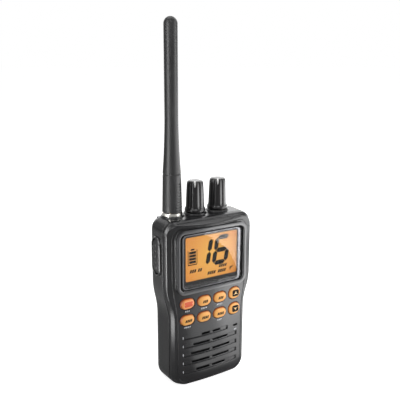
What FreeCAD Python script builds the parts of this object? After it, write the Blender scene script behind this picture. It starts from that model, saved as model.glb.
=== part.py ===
"""Handheld VHF marine radio: a moulded two-part housing with its antenna, knobs, keys and battery pack.

Millimetres, +Z up. The front faces -Y, +X is the viewer's right, and the origin is the middle of the
flat bottom of the housing. Every function below makes one piece where it sits in the finished radio.
"""
import FreeCAD, Part
import math
import os

V = FreeCAD.Vector
X_AXIS, Y_AXIS, Z_AXIS = V(1, 0, 0), V(0, 1, 0), V(0, 0, 1)

# Housing outline, seen from the front
UPPER_WIDTH = 60.8
LOWER_WIDTH = 53.2
TOP_MARGIN = 5.0
WAIST_BELOW_KEYS = 0.6
WAIST_RISE = 24.0
BOTTOM_CORNER = 8.0
TOP_CORNER = 7.5

# Front panel, the slightly curved face inside the sloped band
PANEL_INSET_UPPER = 2.8
PANEL_INSET_LOWER = 3.7
PANEL_INSET_TOP = 3.7
PANEL_INSET_BOTTOM = 1.6
PANEL_WAIST_INSET = 2.0
PANEL_CORNER = 7.0
FACE_RADIUS = 150.0
EDGE_ROUND = 0.8

# Housing, front to back
FRONT_DEPTH = 18.0
PARTING_DEPTH = 11.3
BAND_DEPTH = 2.1
BAND_LEDGE = 0.4
BACK_DEPTH = 7.0
BACK_ROUND = 6.5
BACK_LOWER_FLARE = 1.6
INNER_CHAMFER = 3.0
WALL = 2.0
GASKET_WIDTH = 0.8
GASKET_HEIGHT = 0.8

# Display
DISPLAY_ABOVE_KEYS = 2.65
LENS_SIDE_MARGIN = 1.9
LENS_END_MARGIN = 2.5
LENS_THICKNESS = 1.4
LENS_CORNER = 2.6
LENS_PROUD = 0.2
GLASS_WIDTH = 37.2
GLASS_HEIGHT = 28.6
GLASS_THICKNESS = 1.8
GLASS_RISE = 1.3
BEZEL_SIDE_MARGIN = 3.9
BEZEL_END_MARGIN = 3.1
BEZEL_CORNER = 5.5
BEZEL_RIM = 2.4
BEZEL_PROUD = 0.8
BEZEL_THICKNESS = 1.7
LENS_GROOVE = 0.4
BACKLIGHT_THICKNESS = 2.2
FRAME_MARGIN = 1.6
FRAME_THICKNESS = 3.0

# Keypad
KEY_PITCH = 11.14
KEY_ROW_SPACING = 10.5
KEYS_ABOVE_SPEAKER = 7.9
KEY_WIDTH = 9.2
KEY_HEIGHT = 6.5
ARROW_WIDTH = 8.7
ARROW_HEIGHT = 7.7
KEY_PROUD = 1.3
KEY_EDGE = 0.8
KEY_TRAVEL = 0.6
KEY_GAP = 0.25
KEY_LIP = 0.5
KEY_LIP_THICKNESS = 0.8
KEY_POST = 3.2
DOME_RADIUS = 2.5
DOME_HEIGHT = 0.3
CONTACT_GAP = 0.05
WEB_THICKNESS = 0.7
WEB_RIM = 0.5

# Speaker, grille and microphone
SPEAKER_Z = 19.7
SPEAKER_RADIUS = 17.0
SPEAKER_RIM = 2.6
SPEAKER_SEAT = 1.4
SPEAKER_RIM_THICKNESS = 1.0
SPEAKER_DEPTH = 4.4
MAGNET_RADIUS = 9.5
MAGNET_DEPTH = 4.6
CONE_THICKNESS = 0.4
MESH_THICKNESS = 0.4
GRILLE_RADIUS = 14.2
GRILLE_PITCH = 5.81
GRILLE_ROWS = 5
GRILLE_RISE = 13.1
SLOT_HEIGHT = 1.2
GROOVE_HEIGHT = 2.6
GROOVE_DEPTH = 0.7
GROOVE_REACH = 19.4
GRILLE_RIB = 2.1
MIC_BESIDE_SPEAKER = 1.3
MIC_DROP = 0.2
MIC_RADIUS = 2.8
MIC_LENGTH = 2.2
MIC_BOSS_WALL = 0.9
MIC_SLOT = 3.2
MIC_GROOVE_GAP = 6.3

# Circuit board and its parts
BOARD_SIDE_GAP = 4.6
BOARD_BELOW_KEYS = 4.2
BOARD_BELOW_DECK = 2.8
CAN_MARGIN = 3.0
CAN_SPLIT = 6.0
BOARD_THICKNESS = 1.2
BOARD_BEHIND_FRAME = 0.2
CAN_HEIGHT = 2.8
CAN_WALL = 0.4

# Top deck: antenna and two knobs in one row
TOP_ROW_Y = -2.0
PEDESTAL_RISE = 0.9
PEDESTAL_RADIUS = 7.0
PEDESTAL_BEVEL = 0.6
ANTENNA_FROM_SIDE = 11.8
ANTENNA_TO_VOLUME = 15.7
KNOB_SPACING = 16.1
POT_SIDE = 9.0
POT_HEIGHT = 6.5
POT_DROP = 0.55
BUSHING_RADIUS = 3.5
BUSHING_RISE = 2.0
NUT_RADIUS = 4.6
NUT_HEIGHT = 1.6
SHAFT_RADIUS = 3.0
SHAFT_TOP_GAP = 4.5
SHAFT_REACH = 5.0
RUNNING_GAP = 0.05
KNOB_HEIGHT = 19.3
KNOB_FLOAT = 0.35
KNOB_FLANGE_RADIUS = 6.4
KNOB_FLANGE_HEIGHT = 2.2
KNOB_BASE_RADIUS = 5.4
KNOB_TOP_RADIUS = 4.4
KNOB_CROWN = 1.2
KNOB_CROWN_BEVEL = 1.1
KNOB_FLANGE_SLOPE = 0.9
KNOB_RIBS = 16
RIB_DEPTH = 0.55
POINTER_WIDTH = 1.1
POINTER_DROP = 4.0
POINTER_ANGLE = 30.7
SEAL_HEIGHT = 1.0

# Antenna
ANTENNA_LENGTH = 110.4
BOOT_BASE_RADIUS = 5.95
BOOT_TOP_RADIUS = 5.45
BOOT_HEIGHT = 22.5
SEAM_DEPTH = 0.3
SEAM_HEIGHT = 0.5
TAPER_HEIGHT = 32.0
WHIP_RADIUS = 3.95
CORE_RADIUS = 1.9
CORE_TOP_GAP = 6.0
JACK_RADIUS = 6.1
JACK_RISE = 2.0
JACK_BODY_RADIUS = 4.5
JACK_LENGTH = 9.8
JACK_FLOOR = 0.6
STUD_RADIUS = 2.95
STUD_LENGTH = 6.3
PLUG_FLANGE_RADIUS = 4.6
PLUG_FLANGE_HEIGHT = 2.4
PLUG_CUP_HEIGHT = 8.0
PIN_RADIUS = 0.6
PIN_REACH = 2.4
BOOT_GAP = 0.3
RELIEF_SLOTS = 10
RELIEF_PITCH = 1.75
RELIEF_SLOT = 0.8
RELIEF_DEPTH = 0.45
RELIEF_ANGLE = 20.0
RELIEF_WIDE = 68.0
RELIEF_NARROW = 22.0

# Push-to-talk button on the left side
PTT_Y = -4.5
PTT_ABOVE_DISPLAY = 2.5
PTT_WIDTH = 11.0
PTT_HEIGHT = 24.4
PTT_RIM = 1.35
PTT_RIM_PROUD = 1.2
PTT_RIM_BEVEL = 0.5
PTT_SEAT = 0.4
PTT_PROUD = 0.5
PTT_GAP = 0.25
PTT_LIP = 0.8
PTT_LIP_THICKNESS = 0.7
PTT_TRAVEL = 1.0
PTT_POST = 0.6
PTT_POST_WIDTH = 4.0
PTT_POST_HEIGHT = 9.0
SWITCH_SIDE = 6.0
SWITCH_HEIGHT = 2.8
PLUNGER_HEIGHT = 0.3
SWITCH_RIB = 1.5

# Accessory jack and its cover on the right side
PORT_Y = -4.0
PORT_ABOVE_DISPLAY = 2.5
PORT_BORE = 1.8
PORT_HOLE_RADIUS = 3.0
PORT_BODY = 6.0
PORT_LENGTH = 12.0
PORT_BODY_HEIGHT = 8.0
COVER_WIDTH = 8.6
COVER_HEIGHT = 17.0
COVER_THICKNESS = 1.6
COVER_RECESS = 0.8
COVER_PLUG_GAP = 0.3
COVER_GAP = 0.2

# Battery pack
PACK_SIDE_INSET = 5.1
PACK_FOOT_GAP = 1.0
FOOT_THICKNESS = 1.2
FOOT_REACH = 5.0
PACK_PROUD = 9.5
PACK_POCKET = 5.0
PACK_GAP = 0.3
PACK_TOP_GAP = 0.4
PACK_ROUND = 4.5
PACK_WALL = 1.6
PACK_TOP_WALL = 3.2
LID_THICKNESS = 1.5
CELL_GAP = 0.3
CELL_SPACING = 2.0
PAD_WIDTH = 3.0
PAD_HEIGHT = 5.0
PAD_PITCH = 5.5
PADS_BELOW_TOP = 10.0
PAD_COUNT = 4
PAD_THICKNESS = 0.5
CONTACT_BLOCK_DEPTH = 5.0
CONTACT_WIDTH = 1.2
TAB_WIDTH = 6.0
TAB_X = 10.5
TAB_Z = 4.2
TAB_THICKNESS = 1.6
TAB_REACH = 1.2
TAB_CLEARANCE = 0.5
CHARGE_RADIUS = 2.0
CHARGE_X = 8.0
CHARGE_Z = 9.0

# Battery latch in the hump above the pack
HUMP_DROP = 3.4
HUMP_HEIGHT = 14.6
HUMP_ROUND = 4.5
LATCH_WIDTH = 16.0
LATCH_PLATE = 1.6
LATCH_PLATE_HEIGHT = 6.0
LATCH_TRAVEL = 2.4
HOOK_WIDTH = 8.0
HOOK_REACH = 1.0
HOOK_SLOPE = 2.5
HOOK_FROM_BACK = 6.2
HOOK_THICKNESS = 2.7
NOTCH_GAP = 0.3
LATCH_GAP = 0.2
THUMB_THICKNESS = 1.4
THUMB_RIDGES = 3
SPRING_RADIUS = 1.5
SPRING_WIRE = 0.5
SPRING_TURNS = 3

# Belt clip on the back of the pack
CLIP_WIDTH = 15.6
CLIP_BELOW_TOP = 12.0
CLIP_STANDOFF = 5.0
CLIP_BOW = 1.0
CLIP_LENGTH = 56.0
CLIP_THICKNESS = 2.0
CLIP_LEVER = 11.0
CLIP_BEAD = 2.0
CLIP_OFFSET = 0.2
BARREL_RADIUS = 2.7
CLIP_PIN_RADIUS = 1.25
EAR_WIDTH = 2.4
EAR_GAP = 0.2
EAR_BEVEL = 1.5
BRACKET_THICKNESS = 2.0
BRACKET_BEVEL = 0.6
BRACKET_BELOW = 12.0
BRACKET_ABOVE = 7.0
COIL_LENGTH = 3.2
COIL_WIRE = 0.7
COIL_TURNS = 3

# Screws
SCREW_INSET_UPPER = 5.2
SCREW_DROP = 9.4
SCREW_INSET_LOWER = 3.3
SCREW_RISE = 5.2
SCREW_RADIUS = 1.0
SCREW_HEAD_RADIUS = 1.9
SCREW_HEAD_HEIGHT = 1.3
SCREW_SINK = 1.5
BOSS_SIDE = 4.6

# Strap eye beside the hump
STRAP_HOLE_RADIUS = 1.5
STRAP_WALL = 1.5
STRAP_HEIGHT = 6.0
STRAP_SIDE_GAP = 0.3
STRAP_RISE = 1.5

# Places worked out from the sizes above
LENS_WIDTH = GLASS_WIDTH + 2 * LENS_SIDE_MARGIN
LENS_HEIGHT = GLASS_HEIGHT + 2 * LENS_END_MARGIN
BEZEL_WIDTH = LENS_WIDTH + 2 * BEZEL_SIDE_MARGIN
BEZEL_HEIGHT = LENS_HEIGHT + 2 * BEZEL_END_MARGIN
KEY_ROW_LOWER = SPEAKER_Z + SPEAKER_RADIUS + KEYS_ABOVE_SPEAKER
KEY_ROW_UPPER = KEY_ROW_LOWER + KEY_ROW_SPACING
DISPLAY_Z = KEY_ROW_UPPER + ARROW_HEIGHT / 2 + DISPLAY_ABOVE_KEYS + BEZEL_HEIGHT / 2
HOUSING_HEIGHT = DISPLAY_Z + BEZEL_HEIGHT / 2 + TOP_MARGIN
WAIST_BOTTOM = KEY_ROW_LOWER - WAIST_BELOW_KEYS
WAIST_TOP = WAIST_BOTTOM + WAIST_RISE
PTT_Z = DISPLAY_Z + PTT_ABOVE_DISPLAY
PORT_Z = DISPLAY_Z + PORT_ABOVE_DISPLAY
MIC_X = SPEAKER_RADIUS + MIC_BESIDE_SPEAKER
MIC_Z = SPEAKER_Z + GRILLE_RISE - MIC_DROP
PACK_WIDTH = LOWER_WIDTH - 2 * PACK_SIDE_INSET
PACK_BOTTOM = FOOT_THICKNESS + PACK_FOOT_GAP
HUMP_TOP = HOUSING_HEIGHT - HUMP_DROP
HUMP_BOTTOM = HUMP_TOP - HUMP_HEIGHT
PACK_TOP = HUMP_BOTTOM - PACK_TOP_GAP
PAD_Z = PACK_TOP - PADS_BELOW_TOP
CLIP_Z = PACK_TOP - CLIP_BELOW_TOP
STRAP_RADIUS = STRAP_HOLE_RADIUS + STRAP_WALL
STRAP_X = PACK_WIDTH / 2 + STRAP_SIDE_GAP + STRAP_RADIUS
FRONT_Y = -FRONT_DEPTH
PARTING_Y = -PARTING_DEPTH
BACK_Y = BACK_DEPTH
PACK_BACK = BACK_Y + PACK_PROUD
INNER_FRONT_Y = FRONT_Y + WALL
POCKET_FLOOR_Y = BACK_Y - PACK_POCKET
PACK_FRONT_Y = POCKET_FLOOR_Y + PACK_GAP
INNER_BACK_Y = POCKET_FLOOR_Y - WALL
UPPER_HALF = UPPER_WIDTH / 2
LOWER_HALF = LOWER_WIDTH / 2
ANTENNA_X = ANTENNA_FROM_SIDE - UPPER_HALF
VOLUME_X = ANTENNA_X + ANTENNA_TO_VOLUME
SQUELCH_X = VOLUME_X + KNOB_SPACING
LENS_FRONT_Y = FRONT_Y - LENS_PROUD
LENS_BACK_Y = LENS_FRONT_Y + LENS_THICKNESS
GLASS_BACK_Y = LENS_BACK_Y + CONTACT_GAP + GLASS_THICKNESS
DISPLAY_SEAT_Y = GLASS_BACK_Y
BEZEL_FRONT_Y = FRONT_Y - BEZEL_PROUD
BEZEL_BACK_Y = BEZEL_FRONT_Y + BEZEL_THICKNESS
FRAME_BACK_Y = DISPLAY_SEAT_Y + FRAME_THICKNESS
BOARD_Y = FRAME_BACK_Y + BOARD_BEHIND_FRAME
BOARD_BACK_Y = BOARD_Y + BOARD_THICKNESS
DOME_Y = BOARD_Y - DOME_HEIGHT
SPEAKER_SEAT_Y = INNER_FRONT_Y + SPEAKER_SEAT
DECK_INNER_Z = HOUSING_HEIGHT - WALL
BOARD_HALF = LOWER_HALF - WALL - BOARD_SIDE_GAP
BOARD_BOTTOM = KEY_ROW_LOWER - BOARD_BELOW_KEYS
BOARD_TOP = DECK_INNER_Z - BOARD_BELOW_DECK
PEDESTAL_Z = HOUSING_HEIGHT + PEDESTAL_RISE
JACK_TOP_Z = PEDESTAL_Z + JACK_RISE
BOOT_Z = JACK_TOP_Z + BOOT_GAP
ANTENNA_TOP = BOOT_Z + ANTENNA_LENGTH
PTT_POST_X = -UPPER_HALF + WALL + PTT_POST
PLUNGER_X = PTT_POST_X + PTT_TRAVEL + CONTACT_GAP
PORT_X = UPPER_HALF - COVER_RECESS
STUD_BOTTOM = BOOT_Z - STUD_LENGTH
CORE_BOTTOM = BOOT_Z + PLUG_FLANGE_HEIGHT + WALL / 2
CLIP_PIN_Y = PACK_BACK + CLIP_STANDOFF
MATCH = 0.01
HUMP_INNER_Y = PACK_BACK - WALL
LATCH_Y = HUMP_INNER_Y - LATCH_GAP - LATCH_PLATE
LATCH_BOTTOM = HUMP_BOTTOM + WALL + PACK_GAP
HOOK_CATCH_Y = PACK_BACK - HOOK_FROM_BACK
HOOK_BACK_Y = HOOK_CATCH_Y + HOOK_THICKNESS
KEY_COLUMNS = [-1.5 * KEY_PITCH, -0.5 * KEY_PITCH, 0.5 * KEY_PITCH, 1.5 * KEY_PITCH]


def box(x_low, x_high, y_low, y_high, z_low, z_high):
    return Part.makeBox(x_high - x_low, y_high - y_low, z_high - z_low, V(x_low, y_low, z_low))


def rod(radius, low, high, x, y):
    """Upright cylinder from height low to height high."""
    return Part.makeCylinder(radius, high - low, V(x, y, low), Z_AXIS)


def bar_y(radius, y_low, y_high, x, z):
    return Part.makeCylinder(radius, y_high - y_low, V(x, y_low, z), Y_AXIS)


def bar_x(radius, x_low, x_high, y, z):
    return Part.makeCylinder(radius, x_high - x_low, V(x_low, y, z), X_AXIS)


def prism(sides, radius, low, high, x, y):
    """Upright prism with a regular outline; radius reaches its corners."""
    corners = [2 * math.pi * index / sides for index in range(sides + 1)]
    loop = Part.makePolygon([V(x + radius * math.cos(t), y + radius * math.sin(t), low) for t in corners])
    return Part.Face(loop).extrude(V(0, 0, high - low))


def prism_y(sides, radius, y_low, y_high, x, z):
    """The same, lying front to back."""
    corners = [2 * math.pi * (index + 0.5) / sides for index in range(sides + 1)]
    loop = Part.makePolygon([V(x + radius * math.cos(t), y_low, z + radius * math.sin(t)) for t in corners])
    return Part.Face(loop).extrude(V(0, y_high - y_low, 0))


def block_y(width, height, x, z, y_low, y_high):
    """Square-cornered block that faces the front, centred at (x, z)."""
    return box(x - width / 2, x + width / 2, y_low, y_high, z - height / 2, z + height / 2)


def block_x(depth, height, y, z, x_low, x_high):
    """Square-cornered block that faces the side, centred at (y, z)."""
    return box(x_low, x_high, y - depth / 2, y + depth / 2, z - height / 2, z + height / 2)


def fuse(shapes):
    """One solid from pieces joined in turn."""
    whole = shapes[0]
    for shape in shapes[1:]:
        whole = whole.fuse(shape)
    return whole


def carve(shape, cuts):
    """The shape with every cut taken out of it in turn."""
    for cut in cuts:
        shape = shape.cut(cut)
    return shape


def mirrored(shape):
    """The same shape on the other side of the middle plane."""
    return shape.mirror(V(0, 0, 0), X_AXIS)


def rounded_loop(width, height, radius, place):
    """Rectangle with round corners about the local origin; place turns (a, b) into a point."""
    half_a, half_b = width / 2, height / 2
    r = min(radius, half_a, half_b)
    edges = []
    corners = [(1, 1), (-1, 1), (-1, -1), (1, -1)]
    ends = []
    for index, (sign_a, sign_b) in enumerate(corners):
        centre = (sign_a * (half_a - r), sign_b * (half_b - r))
        angles = [math.pi / 2 * index + math.pi / 4 * step for step in range(3)]
        points = [place(centre[0] + r * math.cos(t), centre[1] + r * math.sin(t)) for t in angles]
        edges.append(Part.Arc(*points).toShape())
        ends.append((points[0], points[2]))
    for index in range(4):
        start, stop = ends[index][1], ends[(index + 1) % 4][0]
        if start.distanceToPoint(stop) > 1e-6:
            edges.append(Part.makeLine(start, stop))
    return Part.Wire(Part.__sortEdges__(edges))


def plate_y(width, height, radius, x, z, y_low, y_high):
    """Plate with round corners that faces the front, centred at (x, z)."""
    loop = rounded_loop(width, height, radius, lambda a, b: V(x + a, y_low, z + b))
    return Part.Face(loop).extrude(V(0, y_high - y_low, 0))


def plate_x(depth, height, radius, y, z, x_low, x_high):
    """Plate with round corners that faces the side, centred at (y, z)."""
    loop = rounded_loop(depth, height, radius, lambda a, b: V(x_low, y + a, z + b))
    return Part.Face(loop).extrude(V(x_high - x_low, 0, 0))


def turned(points, x, y):
    """Solid of revolution about the upright line at (x, y) from (radius, height) points."""
    loop = Part.makePolygon([V(x + r, y, z) for r, z in points] + [V(x + points[0][0], y, points[0][1])])
    return Part.Face(loop).revolve(V(x, y, 0), Z_AXIS, 360)


def turned_y(points, x, z):
    """Solid of revolution about a front-to-back line at (x, z) from (radius, depth) points."""
    loop = Part.makePolygon([V(x + r, y, z) for r, y in points] + [V(x + points[0][0], points[0][1], z)])
    return Part.Face(loop).revolve(V(x, 0, z), Y_AXIS, 360)


def flattened(solid):
    """The same solid with its flat lofted faces made true planes."""
    faces = []
    for face in solid.Faces:
        plane = face.findPlane()
        if plane and not isinstance(face.Surface, Part.Plane):
            u_low, _, v_low, _ = face.ParameterRange
            outward = face.normalAt(u_low, v_low)
            face = Part.Face(plane, face.Wires)
            if face.normalAt(0, 0).dot(outward) < 0:
                face = face.reversed()
        faces.append(face)
    return Part.makeSolid(Part.makeShell(faces))


def edges_at(shape, test):
    """Edges whose every vertex passes the test."""
    return [edge for edge in shape.Edges if all(test(vertex.Point) for vertex in edge.Vertexes)]


def coil(radius, wire, turns, length, start, axis):
    """Square-wire spring whose centre line starts at start and winds along axis."""
    helix = Part.makeHelix((length - wire) / turns, length - wire, radius)
    corners = [(-1, -1), (1, -1), (1, 1), (-1, 1), (-1, -1)]
    section = Part.makePolygon([V(radius + a * wire / 2, 0, b * wire / 2) for a, b in corners])
    spring = Part.Wire(helix.Edges).makePipeShell([section], True, True)
    spring.Placement = FreeCAD.Placement(start + axis * (wire / 2), FreeCAD.Rotation(Z_AXIS, axis))
    return spring


def waisted_outline(sizes, y):
    """Housing outline at depth y: straight sides, an S-curved waist and round corners."""
    half_upper, half_lower, bottom, waist_bottom, waist_top, top, round_bottom, round_top = sizes
    shift = (half_upper - half_lower) / 2
    rise = (waist_top - waist_bottom) / 2
    radius = (shift ** 2 + rise ** 2) / (2 * shift)
    sweep = math.atan2(rise, radius - shift)

    def corner(centre_x, centre_z, r, start):
        angles = [start + step * math.pi / 4 for step in range(3)]
        return [V(centre_x + r * math.cos(t), y, centre_z + r * math.sin(t)) for t in angles]

    def hollow(angle):
        return V(half_lower + radius - radius * math.cos(angle), y, waist_bottom + radius * math.sin(angle))

    def swell(angle):
        return V(half_upper - radius + radius * math.cos(angle), y, waist_top - radius * math.sin(angle))

    low = corner(half_lower - round_bottom, bottom + round_bottom, round_bottom, -math.pi / 2)
    high = corner(half_upper - round_top, top - round_top, round_top, 0)
    right = [
        Part.Arc(*low).toShape(),
        Part.makeLine(low[2], hollow(0)),
        Part.Arc(hollow(0), hollow(sweep / 2), hollow(sweep)).toShape(),
        Part.Arc(swell(sweep), swell(sweep / 2), swell(0)).toShape(),
        Part.makeLine(swell(0), high[0]),
        Part.Arc(*high).toShape(),
    ]
    left = [mirrored(edge) for edge in right]
    bottom_line = Part.makeLine(V(-low[0].x, y, bottom), low[0])
    top_line = Part.makeLine(high[2], V(-high[2].x, y, top))
    return Part.Wire(Part.__sortEdges__([bottom_line] + right + [top_line] + left))


def case_outline(inset, y, flare=0.0):
    """Outer outline of the housing moved inwards; flare widens its lower half."""
    sizes = (UPPER_HALF - inset, LOWER_HALF + flare - inset, inset, WAIST_BOTTOM, WAIST_TOP,
             HOUSING_HEIGHT - inset, BOTTOM_CORNER - inset, TOP_CORNER - inset)
    return waisted_outline(sizes, y)


def panel_outline(inset, y):
    """Outline of the front panel moved inwards."""
    sizes = (UPPER_HALF - PANEL_INSET_UPPER - inset, LOWER_HALF - PANEL_INSET_LOWER - inset,
             PANEL_INSET_BOTTOM + inset, WAIST_BOTTOM + PANEL_WAIST_INSET, WAIST_TOP - PANEL_WAIST_INSET,
             HOUSING_HEIGHT - PANEL_INSET_TOP - inset, PANEL_CORNER - inset, PANEL_CORNER - inset)
    return waisted_outline(sizes, y)


def face_cylinder(depth):
    """Upright cylinder whose front is the curved face, moved back by depth."""
    radius = FACE_RADIUS - depth
    return Part.makeCylinder(radius, HOUSING_HEIGHT + 2 * WALL, V(0, FRONT_Y + FACE_RADIUS, -WALL), Z_AXIS)


def face_y(x):
    """Depth of the curved face at x."""
    return FRONT_Y + FACE_RADIUS - math.sqrt(FACE_RADIUS ** 2 - x ** 2)


def key_places():
    """Name, x, z, width and height of each key."""
    upper = ["key_red", "key_top_left", "key_top_right", "key_up"]
    lower = ["key_low_left", "key_low_middle", "key_low_right", "key_down"]
    places = []
    for names, z in ((upper, KEY_ROW_UPPER), (lower, KEY_ROW_LOWER)):
        for name, x in zip(names, KEY_COLUMNS):
            arrow = x == KEY_COLUMNS[-1]
            width, height = (ARROW_WIDTH, ARROW_HEIGHT) if arrow else (KEY_WIDTH, KEY_HEIGHT)
            places.append((name, x, z, width, height))
    return places


def grille_rows():
    """Height and half length of each row of slots, trimmed to the round speaker."""
    rows = []
    for index in range(GRILLE_ROWS):
        z = SPEAKER_Z + GRILLE_RISE - index * GRILLE_PITCH
        offset = abs(z - SPEAKER_Z) - SLOT_HEIGHT / 2
        rows.append((z, math.sqrt(GRILLE_RADIUS ** 2 - offset ** 2)))
    return rows


def case_screw_places():
    """x, z and head seat depth of the four housing screws."""
    places = []
    upper_x = UPPER_HALF - SCREW_INSET_UPPER
    lower_x = PACK_WIDTH / 2 - SCREW_INSET_LOWER
    for side in (-1, 1):
        places.append((side * upper_x, HOUSING_HEIGHT - SCREW_DROP, BACK_Y - SCREW_SINK))
        places.append((side * lower_x, SCREW_RISE, POCKET_FLOOR_Y))
    return places


def grille_cut():
    """Shallow grooves with a split slot in each."""
    cuts = []
    deep = PARTING_Y
    for index, (z, half) in enumerate(grille_rows()):
        right_end = MIC_X - MIC_GROOVE_GAP if index == 0 else GROOVE_REACH
        length = right_end + GROOVE_REACH
        middle = (right_end - GROOVE_REACH) / 2
        groove = block_y(length, GROOVE_HEIGHT, middle, z, FRONT_Y - WALL, deep)
        cuts.append(groove.cut(face_cylinder(GROOVE_DEPTH)))
        slot_length = half - GRILLE_RIB / 2
        for side in (-1, 1):
            x = side * (GRILLE_RIB / 2 + slot_length / 2)
            cuts.append(block_y(slot_length, SLOT_HEIGHT, x, z, FRONT_Y - WALL, deep))
    return cuts


def front_case():
    """Front moulding: sloped band, curved panel, display seat, key holes, grille and screw bosses."""
    outer = Part.makeLoft([case_outline(0, PARTING_Y), case_outline(BAND_LEDGE, PARTING_Y - BAND_DEPTH),
                           panel_outline(0, FRONT_Y - BEZEL_PROUD)], True, True)
    outer = outer.common(face_cylinder(0))
    rim = edges_at(outer, lambda p: abs(p.y - face_y(p.x)) < MATCH)
    outer = outer.makeFillet(EDGE_ROUND, rim)
    inner = Part.makeLoft([case_outline(WALL, PARTING_Y + WALL), case_outline(WALL, PARTING_Y - BAND_DEPTH),
                           panel_outline(WALL, FRONT_Y - BEZEL_PROUD)], True, True)
    inner = inner.common(face_cylinder(WALL))
    bezel_seat = plate_y(BEZEL_WIDTH, BEZEL_HEIGHT, BEZEL_CORNER, 0, DISPLAY_Z, FRONT_Y - WALL, BEZEL_BACK_Y)
    shell = outer.cut(inner).cut(bezel_seat)

    opening_width = BEZEL_WIDTH - 2 * BEZEL_RIM
    opening_height = BEZEL_HEIGHT - 2 * BEZEL_RIM
    opening_corner = BEZEL_CORNER - BEZEL_RIM
    solids = [
        shell,
        plate_y(BEZEL_WIDTH, BEZEL_HEIGHT, BEZEL_CORNER, 0, DISPLAY_Z, BEZEL_BACK_Y, DISPLAY_SEAT_Y),
        plate_y(opening_width - 2 * KEY_GAP, opening_height - 2 * KEY_GAP, opening_corner, 0, DISPLAY_Z,
                FRONT_Y + LENS_GROOVE, DISPLAY_SEAT_Y),
    ]
    pad_out = (SPEAKER_RADIUS - SPEAKER_RIM / 2) * math.sqrt(0.5)
    for side_x, side_z in ((-1, -1), (-1, 1), (1, -1), (1, 1)):
        solids.append(block_y(SPEAKER_RIM, SPEAKER_RIM, side_x * pad_out, SPEAKER_Z + side_z * pad_out,
                              face_y(pad_out) + WALL / 2, SPEAKER_SEAT_Y))
    mic_back = face_y(MIC_X) + WALL + MIC_LENGTH
    mic_side = 2 * (MIC_RADIUS + MIC_BOSS_WALL)
    solids.append(block_y(mic_side, mic_side, MIC_X, MIC_Z, face_y(MIC_X) + WALL / 2, mic_back))
    for x, z, _ in case_screw_places():
        solids.append(block_y(BOSS_SIDE, BOSS_SIDE, x, z, face_y(x) + WALL, PARTING_Y))
    case = fuse(solids)

    cuts = [
        plate_y(LENS_WIDTH + KEY_GAP, LENS_HEIGHT + KEY_GAP, LENS_CORNER, 0, DISPLAY_Z,
                FRONT_Y - WALL, LENS_BACK_Y),
        block_y(GLASS_WIDTH + KEY_GAP, GLASS_HEIGHT + KEY_GAP, 0, DISPLAY_Z + GLASS_RISE, FRONT_Y, PARTING_Y),
        block_y(GLASS_WIDTH + 2 * FRAME_MARGIN + KEY_GAP, GLASS_HEIGHT + 2 * FRAME_MARGIN + KEY_GAP, 0,
                DISPLAY_Z + GLASS_RISE, DISPLAY_SEAT_Y, PARTING_Y),
        bar_y(MIC_RADIUS, face_y(MIC_X) + WALL, PARTING_Y, MIC_X, MIC_Z),
        block_y(MIC_SLOT, SLOT_HEIGHT, MIC_X, MIC_Z, FRONT_Y, PARTING_Y),
    ]
    for _, x, z, width, height in key_places():
        cuts.append(plate_y(width + 2 * KEY_GAP, height + 2 * KEY_GAP, height / 2, x, z, FRONT_Y, PARTING_Y))
        margin = 2 * (KEY_LIP + KEY_GAP)
        cuts.append(block_y(width + margin, height + margin, x, z, face_y(x) + WALL, PARTING_Y))
    for x, z, _ in case_screw_places():
        cuts.append(prism_y(6, SCREW_RADIUS, face_y(x) + 2 * WALL, PARTING_Y, x, z))
    return carve(case, cuts + grille_cut()).removeSplitter()


def hump_box(inset):
    """Hump above the battery pack, or the space inside it."""
    half = PACK_WIDTH / 2 - inset
    block = box(-half, half, BACK_Y - WALL, PACK_BACK - inset, HUMP_BOTTOM + inset, HUMP_TOP - inset)
    if inset > 0:
        return block
    rim = edges_at(block, lambda p: p.y > BACK_Y and p.z > HUMP_BOTTOM + inset)
    uprights = [edge for edge in edges_at(block, lambda p: p.y > BACK_Y) if edge.BoundBox.ZLength > WALL]
    return block.makeFillet(HUMP_ROUND, rim + [e for e in uprights if not any(e.isSame(r) for r in rim)])


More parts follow.
